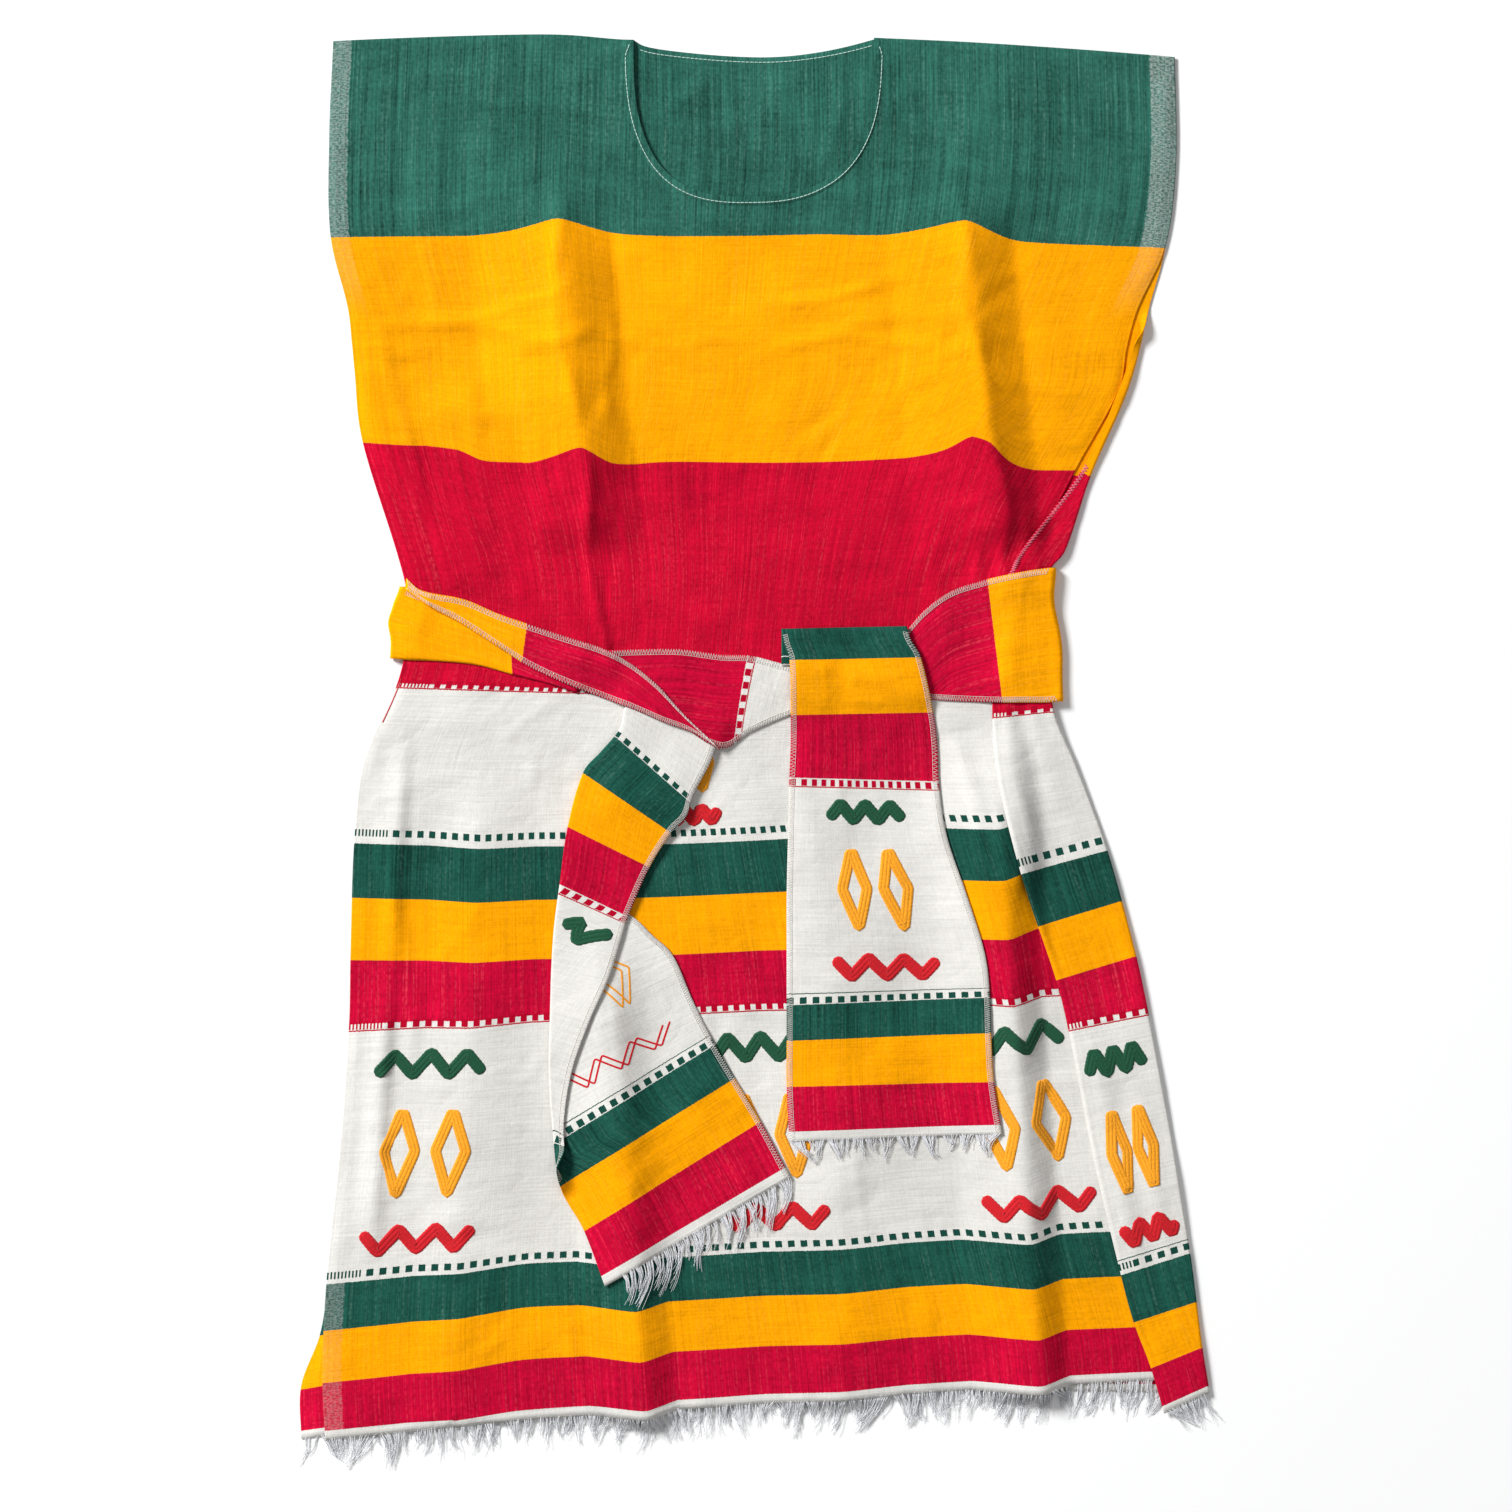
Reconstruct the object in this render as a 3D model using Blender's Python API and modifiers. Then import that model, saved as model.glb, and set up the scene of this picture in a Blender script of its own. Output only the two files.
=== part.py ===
"""A striped handwoven cotton dress laid flat, face up, with its own sash tied round the waist.

Metres in Blender; every table and constant below is in millimetres. +X is the dress's own left-to-right as it is
seen from above, +Y runs from the hem to the neck, +Z is up from the surface that the dress lies on.
"""

import math
import random
from collections import namedtuple

import bmesh
import bpy
import numpy
from mathutils import Matrix, Vector
from mathutils.bvhtree import BVHTree

MM = 0.001

# Driving sizes
WALL = 1.2
SEAM_GAP = 0.3
LAYER_GAP = 0.6
CUT_LENGTH = 1030
YOKE_DOWN = 145
NECK_HALF_WIDTH = 90
NECK_DEPTH = 118
NECK_ROUNDNESS = 2.6
BACK_NECK_DEPTH = 17
NECK_SINK = 5
SHOULDER_SHARE = 0.335
SASH_FOLD_RADIUS = 1.5
SASH_UNDER = 14

# The back's right margin turns up below the armhole: where it starts, over what run, and its least width
ARMHOLE_END = 202
TURN_UP = 34
TURN_EDGE = 4

# The band of the dress that the sash squeezes, from its lower to its upper side
WAIST_LOW = 36
WAIST_HIGH = 146
WAIST_RAMP = 34
WAIST_PRESS = 0.82
SASH_LIFT = WALL + SEAM_GAP

# Colours of the cloth, linear
GREEN = (0.022, 0.105, 0.078)
YELLOW = (0.94, 0.37, 0.0)
RED = (0.58, 0.01, 0.045)
WHITE = (0.78, 0.76, 0.72)

# Front: one row for each line across the cloth, by its distance down from the shoulder
FrontRow = namedtuple("FrontRow", "down left_x left_y middle_y right_x right_y")
FRONT = [
    FrontRow(0, -317, 536, 541, 314, 524),
    FrontRow(72, -320, 464, 467, 315, 446),
    FrontRow(145, -319, 390, 390, 307, 382),
    FrontRow(202, -306, 336, 334, 286, 334),
    FrontRow(232, -303, 310, 305, 278, 305),
    FrontRow(258, -301, 289, 277, 273, 276),
    FrontRow(316, -295, 236, 220, 240, 215),
    FrontRow(400, -264, 134, 136, 205, 141),
    FrontRow(440, -261, 98, 95, 196, 96),
    FrontRow(485, -268, 57, 51, 194, 50),
    FrontRow(545, -294, -5, -6, 200, 8),
    FrontRow(601, -301, -61, -61, 217, -41),
    FrontRow(687, -304, -149, -144, 243, -122),
    FrontRow(730, -305, -200, -186, 252, -172),
    FrontRow(820, -312, -294, -281, 274, -264),
    FrontRow(912, -322, -394, -371, 292, -353),
    FrontRow(988, -325, -467, -440, 312, -424),
    FrontRow(1030, -323, -513, -486, 318, -467),
]

# Back: it reaches under the whole front, turns up at fold_x and lies on the front as far as edge_x
BackRow = namedtuple("BackRow", "down left_x left_y fold_x fold_y edge_x edge_y")
BACK = [
    BackRow(0, -315, 534, 312, 522, 306, 522),
    BackRow(72, -318, 464, 313, 446, 307, 446),
    BackRow(145, -317, 393, 307, 382, 301, 382),
    BackRow(202, -303, 336, 295, 337, 288, 337),
    BackRow(258, -298, 286, 279, 276, 272, 276),
    BackRow(316, -292, 233, 251, 211, 244, 214),
    BackRow(372, -271, 161, 231, 153, 198, 153),
    BackRow(388, -264, 146, 220, 140, 191, 140),
    BackRow(400, -261, 134, 218, 128, 186, 128),
    BackRow(440, -259, 98, 219, 86, 180, 86),
    BackRow(485, -264, 57, 222, 38, 177, 34),
    BackRow(545, -290, -7, 241, -10, 181, -18),
    BackRow(601, -297, -65, 262, -67, 197, -84),
    BackRow(687, -300, -153, 284, -147, 224, -165),
    BackRow(730, -301, -202, 293, -188, 233, -200),
    BackRow(820, -308, -294, 311, -284, 252, -298),
    BackRow(912, -321, -396, 325, -371, 273, -387),
    BackRow(950, -327, -434, 330, -409, 283, -424),
    BackRow(988, -341, -472, 334, -441, 295, -456),
    BackRow(1030, -341, -512, 340, -478, 306, -493),
]

# Long folds that stand up from the front; drift moves the woven lines along with the crest
Fold = namedtuple("Fold", "name top_x top_y low_x low_y height left_width right_width drift")
FOLDS = [
    Fold("left_crease_above", -153, 440, -106, 60, 13, 70, 44, 7),
    Fold("right_crease_above", 154, 440, 188, 60, 14, 60, 40, 8),
    Fold("left_dip_above", -215, 300, -188, 60, 5, 40, 30, -7),
    Fold("right_fold_below", 176, 50, 216, -500, 11, 52, 22, -6),
    Fold("middle_fold_below", -118, -120, -80, -510, 9, 42, 24, -6),
    Fold("left_lap_below", -262, 40, -290, -400, 3, 14, 9, 0),
    Fold("left_wave_below", -205, 30, -225, -500, 3, 36, 44, -2),
    Fold("middle_wave_below", 60, -60, 66, -500, 4, 60, 50, -2),
]

# Sash: along is the distance from the cut end of that tail, so the woven bands follow it. Where a stretch goes
# round an edge of the dress, or folds over itself, its first row is that bend.
StripRow = namedtuple("StripRow", "along upper_x upper_y lower_x lower_y")
SASH_LEFT_WRAP = [
    StripRow(816, -271, 127, -274, 73),
    StripRow(805, -260, 124, -262, 72),
    StripRow(780, -240, 116, -236, 71),
    StripRow(750, -212, 108, -208, 68),
    StripRow(722, -184, 98, -182, 61),
    StripRow(690, -155, 86, -154, 54),
    StripRow(665, -132, 76, -134, 47),
]
SASH_LEFT_FOLD = [
    StripRow(808, -262, 133, -263, 125),
    StripRow(795, -251, 124, -246, 113),
    StripRow(765, -218, 117, -222, 100),
    StripRow(740, -192, 106, -192, 81),
    StripRow(717, -165, 97, -170, 67),
    StripRow(690, -138, 88, -142, 54),
    StripRow(667, -116, 81, -116, 44),
    StripRow(640, -95, 70, -89, 34),
    StripRow(615, -74, 53, -68, 25),
    StripRow(590, -53, 30, -46, 17),
    StripRow(572, -31, 9, -27, 5),
]
SASH_MIDDLE = [
    StripRow(662, -110, 79, -108, 61),
    StripRow(640, -87, 80, -87, 48),
    StripRow(612, -57, 80, -57, 24),
    StripRow(582, -26, 76, -26, 6),
    StripRow(556, -4, 75, -4, 18),
    StripRow(528, 24, 68, 24, 30),
    StripRow(505, 50, 64, 50, 38),
]
SASH_RIGHT_WRAP = [
    StripRow(777, 225, 141, 230, 41),
    StripRow(765, 213, 140, 219, 40),
    StripRow(745, 195, 137, 200, 40),
    StripRow(717, 168, 131, 180, 40),
    StripRow(690, 145, 123, 150, 41),
    StripRow(665, 126, 109, 132, 42),
    StripRow(640, 108, 90, 110, 42),
    StripRow(605, 76, 72, 78, 40),
]
SASH_RIGHT_TAIL = [
    StripRow(411, 19, 95, 113, 97),
    StripRow(400, 21, 85, 116, 87),
    StripRow(388, 25, 73, 123, 75),
    StripRow(343, 26, 30, 133, 32),
    StripRow(318, 26, 6, 136, 6),
    StripRow(300, 25, -17, 137, -20),
    StripRow(250, 24, -59, 143, -60),
    StripRow(205, 23, -104, 157, -102),
    StripRow(160, 23, -145, 171, -147),
    StripRow(118, 23, -186, 175, -180),
    StripRow(84, 23, -215, 176, -209),
    StripRow(44, 23, -247, 178, -243),
    StripRow(0, 25, -289, 184, -283),
]

# The left tail turns over: its free edge lies on top, it bends at the fold, and the under edge shows its back
TurnRow = namedtuple("TurnRow", "along free_x free_y fold_x fold_y under_x under_y")
SASH_LEFT_TAIL = [
    TurnRow(490, -26, 22, -90, 50, -76, 42),
    TurnRow(462, -34, -4, -98, 36, -84, 27),
    TurnRow(438, -47, -29, -102, 20, -88, 13),
    TurnRow(412, -52, -45, -116, 3, -102, -5),
    TurnRow(388, -63, -57, -129, -12, -114, -18),
    TurnRow(343, -80, -84, -141, -54, -126, -60),
    TurnRow(300, -96, -121, -147, -97, -129, -104),
    TurnRow(270, -102, -141, -151, -128, -96, -118),
    TurnRow(240, -110, -166, -153, -158, -78, -134),
    TurnRow(200, -125, -200, -154, -192, -62, -150),
    TurnRow(160, -139, -241, -155, -236, -47, -184),
    TurnRow(125, -144, -285, -152, -282, -34, -210),
    TurnRow(84, -135, -320, -146, -324, -15, -243),
    TurnRow(44, -119, -350, -129, -355, 3, -273),
    TurnRow(0, -103, -392, -113, -397, 26, -316),
]

# Fringes: how many strands hang from each edge, how long they are and how far they lean to the side
Fringe = namedtuple("Fringe", "name strands length lean")
FRINGES = {
    "front": Fringe("front_fringe", 62, 28, -0.1),
    "back": Fringe("back_fringe", 38, 27, -0.1),
    "flap": Fringe("flap_fringe", 5, 28, 0.1),
    "right": Fringe("right_tail_fringe", 15, 20, 0.1),
    "left": Fringe("left_tail_fringe", 16, 32, -0.6),
}
FRINGE_STRIP = 3.0
FRINGE_GAP = 0.5
FRINGE_WALL = 1.0

# Moves the finished dress so that the middle of its box is over the origin
PLACE_X = -3.25
PLACE_Y = -0.4


def eased(share):
    """0 before the start, 1 after the end, and smooth between."""
    share = min(1.0, max(0.0, share))
    return share * share * (3 - 2 * share)


def read(rows, column, at, key=0):
    """A table's column at a distance, on a smooth curve through its rows."""
    ordered = sorted(rows, key=lambda row: row[key])
    place = [row[key] for row in ordered]
    value = [getattr(row, column) for row in ordered]
    last = len(place) - 2
    i = next((n for n in range(last) if at < place[n + 1]), last)

    def slope(n):
        low, high = max(0, n - 1), min(len(place) - 1, n + 1)
        return (value[high] - value[low]) / (place[high] - place[low])

    span = place[i + 1] - place[i]
    f = (at - place[i]) / span
    return (
        value[i] * (2 * f**3 - 3 * f**2 + 1)
        + slope(i) * span * (f**3 - 2 * f**2 + f)
        + value[i + 1] * (3 * f**2 - 2 * f**3)
        + slope(i + 1) * span * (f**3 - f**2)
    )


def waist(y):
    """1 where the sash squeezes the dress, 0 away from it."""
    return eased((y - WAIST_LOW + WAIST_RAMP) / WAIST_RAMP) * eased((WAIST_HIGH + WAIST_RAMP - y) / WAIST_RAMP)


def fold_shape(fold, x, y):
    """How much of one fold stands at a place, from 0 to 1."""
    run = (fold.top_y - y) / (fold.top_y - fold.low_y)
    if not 0 < run < 1:
        return 0.0
    off = x - (fold.top_x + (fold.low_x - fold.top_x) * run)
    width = fold.left_width if off < 0 else fold.right_width
    if abs(off) >= width:
        return 0.0
    ends = eased(run / 0.28) * (1.0 if fold.low_y < -450 else eased((1 - run) / 0.2))
    return ends * (1 + math.cos(math.pi * off / width)) / 2


def relief(x, y):
    """Height of the folds in the front at a place."""
    stand = sum(fold.height * fold_shape(fold, x, y) for fold in FOLDS)
    return stand * (1 - WAIST_PRESS * waist(y))


def back_height(y):
    """Middle of the back panel's wall, which rises where the sash passes under it."""
    return WALL / 2 + SASH_LIFT * waist(y)


def front_height(x, y):
    """Middle of the front panel's wall."""
    return back_height(y) + WALL + LAYER_GAP + relief(x, y)


def over_front(x, y):
    """Middle of a wall that lies on the front, clear of the folds close by."""
    return max(front_height(x + off, y) for off in (-14, -7, 0, 7, 14)) + WALL + LAYER_GAP


def neck_point(share):
    """A point of the front neckline, from its left end to its right, as shares across and distance down."""
    turn = math.pi * share
    bend = 2 / NECK_ROUNDNESS
    side = -math.copysign(abs(math.cos(turn)) ** bend, math.cos(turn))
    return side * NECK_HALF_WIDTH, NECK_DEPTH * max(0.0, math.sin(turn)) ** bend


def front_cut(across, down):
    """Where a point of the front's grid lies on the flat cut: share across, and distance down."""
    if down >= YOKE_DOWN:
        return across, down
    full_width = FRONT[0].right_x - FRONT[0].left_x
    neck_left = 0.5 - NECK_HALF_WIDTH / full_width
    if across < SHOULDER_SHARE:
        top, top_down = neck_left * across / SHOULDER_SHARE, 0.0
    elif across > 1 - SHOULDER_SHARE:
        top, top_down = 1 - neck_left * (1 - across) / SHOULDER_SHARE, 0.0
    else:
        side, top_down = neck_point((across - SHOULDER_SHARE) / (1 - 2 * SHOULDER_SHARE))
        top = 0.5 + side / full_width
    blend = down / YOKE_DOWN
    return top + (across - top) * blend, top_down + (YOKE_DOWN - top_down) * blend


def neck_sink(x, down):
    """How far the shoulder sinks beside the left end of the neck."""
    return NECK_SINK * math.exp(-(((x + NECK_HALF_WIDTH) / 40) ** 2)) * max(0.0, 1 - down / YOKE_DOWN)


def lay_front(across, down):
    """The front panel's middle surface."""
    across, down = front_cut(across, down)
    left_x, right_x = read(FRONT, "left_x", down), read(FRONT, "right_x", down)
    left_y, middle_y, right_y = (read(FRONT, name, down) for name in ("left_y", "middle_y", "right_y"))
    x = left_x + (right_x - left_x) * across
    straight = left_y + (right_y - left_y) * across
    y = straight + 4 * across * (1 - across) * (middle_y - (left_y + right_y) / 2)
    y += sum(fold.drift * fold_shape(fold, x, y) for fold in FOLDS) * (1 - waist(y))
    y -= neck_sink(x, down)
    return x, y, front_height(x, y)


def lay_back(across, down):
    """The back panel's middle surface: under the front to 0.8, round the fold to 0.9, and over the front."""
    left_x, fold_x, edge_x = (read(BACK, name, down) for name in ("left_x", "fold_x", "edge_x"))
    left_y, fold_y, edge_y = (read(BACK, name, down) for name in ("left_y", "fold_y", "edge_y"))
    middle_y = read(FRONT, "middle_y", down) + 5 * eased((down - 800) / 200)
    start, end = 0.8, 0.9
    radius = (over_front(fold_x, fold_y) - back_height(fold_y)) / 2
    arc = math.pi * radius
    turned = max(0.02, math.pi * eased((down - ARMHOLE_END) / TURN_UP))
    bend = arc / turned
    flap = TURN_EDGE + max(0.0, fold_x - edge_x - radius - TURN_EDGE) * eased((down - ARMHOLE_END - TURN_UP) / 40)
    reach = bend * math.sin(min(turned, math.pi / 2)) + max(0.0, flap * math.cos(turned))
    near = fold_x - reach
    if across <= start:
        share = across / start
        x = left_x + (near - left_x) * share
        straight = left_y + (fold_y - left_y) * share
        y = straight + 4 * share * (1 - share) * (middle_y - (left_y + fold_y) / 2)
        if down < YOKE_DOWN:
            neck = max(0.0, 1 - (x / NECK_HALF_WIDTH) ** 2)
            y -= BACK_NECK_DEPTH * math.sqrt(neck) * (1 - down / YOKE_DOWN)
            y -= neck_sink(x, down) * (1 - math.sqrt(neck))
        return x, y, back_height(y)
    angle = turned * min(1.0, (across - start) / (end - start))
    x, z = near + bend * math.sin(angle), back_height(fold_y) + bend * (1 - math.cos(angle))
    if across <= end:
        return x, fold_y, z
    share = (across - end) / (1 - end)
    flat = eased(2 * turned / math.pi - 1)
    y = fold_y + (edge_y - fold_y) * share * flat
    lean_x = x + flap * share * math.cos(turned)
    over = over_front(lean_x, y) - over_front(x, fold_y)
    return lean_x, y, z + flap * share * math.sin(turned) + over * flat


class Drape:
    """How high a loose cloth lies over everything that is already there."""

    STEP = 5.0
    SPREADS = 3
    SMOOTHINGS = 5

    def __init__(self, pieces, rows):
        columns = [value for row in rows for name, value in row._asdict().items() if name.endswith("_x")]
        lines = [value for row in rows for name, value in row._asdict().items() if name.endswith("_y")]
        self.left, self.low = min(columns) - 30, min(lines) - 60
        across = int((max(columns) + 30 - self.left) / self.STEP) + 2
        up = int((max(lines) + 30 - self.low) / self.STEP) + 2
        scene = bpy.context.evaluated_depsgraph_get()
        trees = [BVHTree.FromObject(piece, scene) for piece in pieces]
        top = numpy.zeros((across, up))
        for i in range(across):
            for j in range(up):
                start = Vector((self.left + i * self.STEP, self.low + j * self.STEP, 200)) * MM
                hits = [tree.ray_cast(start, Vector((0, 0, -1)))[0] for tree in trees]
                top[i, j] = max([hit.z / MM for hit in hits if hit] + [0.0])
        solid = top
        for _ in range(self.SPREADS):
            solid = numpy.max(self.neighbours(solid), axis=0)
        self.field = solid
        for _ in range(self.SMOOTHINGS):
            self.field = numpy.maximum(solid, numpy.mean(self.neighbours(self.field), axis=0))

    @staticmethod
    def neighbours(field):
        """The field and its eight shifts by one cell."""
        padded = numpy.pad(field, 1, mode="edge")
        across, up = field.shape
        return [padded[i : i + across, j : j + up] for i in range(3) for j in range(3)]

    def height(self, x, y):
        """Middle of the loose cloth's wall at a place."""
        u = min(max((x - self.left) / self.STEP, 0), self.field.shape[0] - 1.001)
        v = min(max((y - self.low) / self.STEP, 0), self.field.shape[1] - 1.001)
        i, j = int(u), int(v)
        f, g = u - i, v - j
        near = self.field[i, j] * (1 - f) + self.field[i + 1, j] * f
        far = self.field[i, j + 1] * (1 - f) + self.field[i + 1, j + 1] * f
        return near * (1 - g) + far * g + WALL / 2 + LAYER_GAP


def curl(radius, turned, share):
    """Out and up along a bend whose cloth is as long as a half circle, opened to the angle turned."""
    bend = math.pi * radius / turned
    return bend * math.sin(turned * share), bend * (1 - math.cos(turned * share))


def between(row_high, row_low, across):
    """A point of a line across a strip."""
    return row_high + (row_low - row_high) * across


def strip_point(rows, along, across):
    """A point of a strip, seen from above."""
    upper = Vector((read(rows, "upper_x", along), read(rows, "upper_y", along)))
    lower = Vector((read(rows, "lower_x", along), read(rows, "lower_y", along)))
    return between(upper, lower, across)


def lay_strip(rows, drape):
    """Lays a plain stretch of the sash; down runs from 0 at its first row to 1 at its last."""

    def lay(across, down):
        place = strip_point(rows, between(rows[0].along, rows[-1].along, down), across)
        return place.x, place.y, drape.height(place.x, place.y)

    return lay


def lay_wrap(rows, drape, out):
    """Lays a stretch that comes from under the dress, from -1, round its side, from -0.5, and over it, from 0."""

    def lay(across, down):
        edge = strip_point(rows, rows[0].along, across)
        low = WALL / 2
        top = drape.height(edge.x - out * 9, edge.y)
        radius = (top - low) / 2
        if down > 0:
            place = strip_point(rows, between(rows[1].along, rows[-1].along, down), across)
            return place.x, place.y, drape.height(place.x, place.y)
        if down <= -0.5:
            return edge.x - out * (radius + SASH_UNDER * (-0.5 - down) * 2), edge.y, low
        turn = math.pi * (down + 0.5) * 2
        return edge.x - out * radius * (1 - math.sin(turn)), edge.y, low + radius * (1 - math.cos(turn))

    return lay


def lay_hung(rows, drape):
    """Lays a stretch that comes up under itself, from -1, folds over, from -0.5, and hangs, from 0."""
    radius, under = SASH_FOLD_RADIUS, 26

    def lay(across, down):
        edge = strip_point(rows, rows[0].along, across)
        low = drape.height(edge.x, edge.y - radius)
        if down > 0:
            place = strip_point(rows, between(rows[1].along, rows[-1].along, down), across)
            far = edge.y - place.y
            return place.x, place.y, drape.height(place.x, place.y) + 2 * radius * eased((under + 44 - far) / 30)
        if down <= -0.5:
            y = edge.y - radius - under * (-0.5 - down) * 2
            return edge.x, y, drape.height(edge.x, y)
        turn = math.pi * (down + 0.5) * 2
        return edge.x, edge.y - radius * (1 - math.sin(turn)), low + radius * (1 - math.cos(turn))

    return lay


def lay_turned(rows, drape):
    """Lays the tail that turns over: its face lies on top from 0, bends from 0.42, and runs under from 0.58."""
    start, end = 0.42, 0.58
    radius = SASH_FOLD_RADIUS

    def lay(across, down):
        along = between(rows[0].along, rows[-1].along, down)
        free, fold, under = (
            Vector((read(rows, name + "_x", along), read(rows, name + "_y", along)))
            for name in ("free", "fold", "under")
        )
        inward = (under - fold).normalized()
        turned = max(0.02, math.pi * eased((along - 70) / 60))
        flap = max(4.0, (free - fold).length - radius)
        out_end, up_end = curl(radius, turned, 1)
        reach = curl(radius, turned, min(1.0, math.pi / 2 / turned))[0] + max(0.0, flap * math.cos(turned))
        near = fold + inward * reach
        if across >= end:
            place = between(near, under, (across - end) / (1 - end))
            return place.x, place.y, drape.height(place.x, place.y)
        if across > start:
            out, up = curl(radius, turned, (end - across) / (end - start))
            place = near - inward * out
            return place.x, place.y, drape.height(place.x, place.y) + up
        share = (start - across) / start
        flat = eased(2 * turned / math.pi - 1)
        straight = near - inward * (out_end + flap * share * math.cos(turned))
        place = between(straight, between(near, free, share), flat)
        return place.x, place.y, drape.height(place.x, place.y) + up_end + flap * share * math.sin(turned)

    return lay


def material(name, colour):
    """A cloth finish in one plain colour."""
    made = bpy.data.materials.new(name)
    made.use_nodes = True
    shader = made.node_tree.nodes["Principled BSDF"]
    shader.inputs["Base Color"].default_value = (*colour, 1)
    shader.inputs["Roughness"].default_value = 0.9
    shader.inputs["Metallic"].default_value = 0.0
    made.diffuse_color = (*colour, 1)
    return made


def add_object(name, mesh, colour, collection):
    """A named object with its own finish, in the dress's collection."""
    mesh.shade_smooth()
    mesh.materials.append(material(name + "_finish", colour))
    made = bpy.data.objects.new(name, mesh)
    collection.objects.link(made)
    return made


def stations(count, marks=()):
    """Even steps from 0 to 1 with the nearest step moved onto each mark."""
    steps = [n / count for n in range(count + 1)]
    for mark in marks:
        nearest = min(range(1, count), key=lambda n: abs(steps[n] - mark))
        steps[nearest] = mark
    return steps


def cloth(name, lay, across_steps, down_steps, colour, collection):
    """A wall of cloth: a grid laid by a function of the shares across and down, with its thickness."""
    mesh = bpy.data.meshes.new(name)
    grid = bmesh.new()
    columns, lines = len(across_steps) - 1, len(down_steps) - 1
    bmesh.ops.create_grid(grid, x_segments=columns, y_segments=lines, size=0.5)
    for vertex in grid.verts:
        column = round((vertex.co.x + 0.5) * columns)
        line = round((0.5 - vertex.co.y) * lines)
        vertex.co = Vector(lay(across_steps[column], down_steps[line])) * MM
    grid.to_mesh(mesh)
    grid.free()
    made = add_object(name, mesh, colour, collection)
    wall = made.modifiers.new("wall", "SOLIDIFY")
    wall.thickness = WALL * MM
    wall.offset = 0
    wall.use_even_offset = True
    return made


def cut_edge(lay, across_steps, down):
    """The straight runs of a cloth's cut edge, as a function of the share along it."""
    points = [Vector(lay(across, down)) for across in across_steps]
    runs = [(after - before).length for before, after in zip(points, points[1:])]

    def edge(share):
        left = share * sum(runs)
        for before, after, run in zip(points, points[1:], runs):
            if left <= run:
                return before.lerp(after, left / run)
            left -= run
        return points[-1]

    return edge


def fringe(row, edge, ground, seed, collection):
    """Strands in one comb: every second face of a narrow strip is drawn out to a thin tip."""
    chance = random.Random(seed)
    cells = 2 * row.strands + 1
    comb = bmesh.new()
    bmesh.ops.create_grid(comb, x_segments=cells, y_segments=1, size=0.5)
    for vertex in comb.verts:
        share = vertex.co.x + 0.5
        run = edge(min(1.0, share + 0.02)) - edge(max(0.0, share - 0.02))
        outward = Vector((run.y, -run.x, 0)).normalized()
        vertex.co = (edge(share) + outward * (FRINGE_GAP + (0.5 - vertex.co.y) * FRINGE_STRIP)) * MM
    bmesh.ops.solidify(comb, geom=comb.faces[:], thickness=FRINGE_WALL * MM)
    bmesh.ops.recalc_face_normals(comb, faces=comb.faces)
    for vertex in comb.verts:
        vertex.co.z += FRINGE_WALL * MM / 2
    along = (edge(1) - edge(0)).normalized()
    outward = Vector((along.y, -along.x, 0)).normalized()
    roots = [face for face in comb.faces if face.normal.dot(outward) > 0.7]
    roots.sort(key=lambda face: face.calc_center_median().dot(along))
    pitch = (edge(1) - edge(0)).length / row.strands
    for face in bmesh.ops.extrude_discrete_faces(comb, faces=roots[1::2])["faces"]:
        length = chance.uniform(0.55, 1.0) * row.length
        centre = face.calc_center_median()
        side = row.lean * length + chance.uniform(-0.3, 0.3) * pitch
        target = centre + (outward * length + along * side) * MM
        target.z = ground(target.x / MM, target.y / MM) * MM
        for vertex in face.verts:
            vertex.co = target + (vertex.co - centre) * 0.4
    mesh = bpy.data.meshes.new(row.name)
    comb.to_mesh(mesh)
    comb.free()
    return add_object(row.name, mesh, WHITE, collection)


def spaced(first, last, count):
    """Even steps from first to last."""
    return [first + (last - first) * n / count for n in range(count + 1)]


def joined(first, second):
    """Two runs of steps that share the step where they meet."""
    return first + second[1:]


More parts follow.
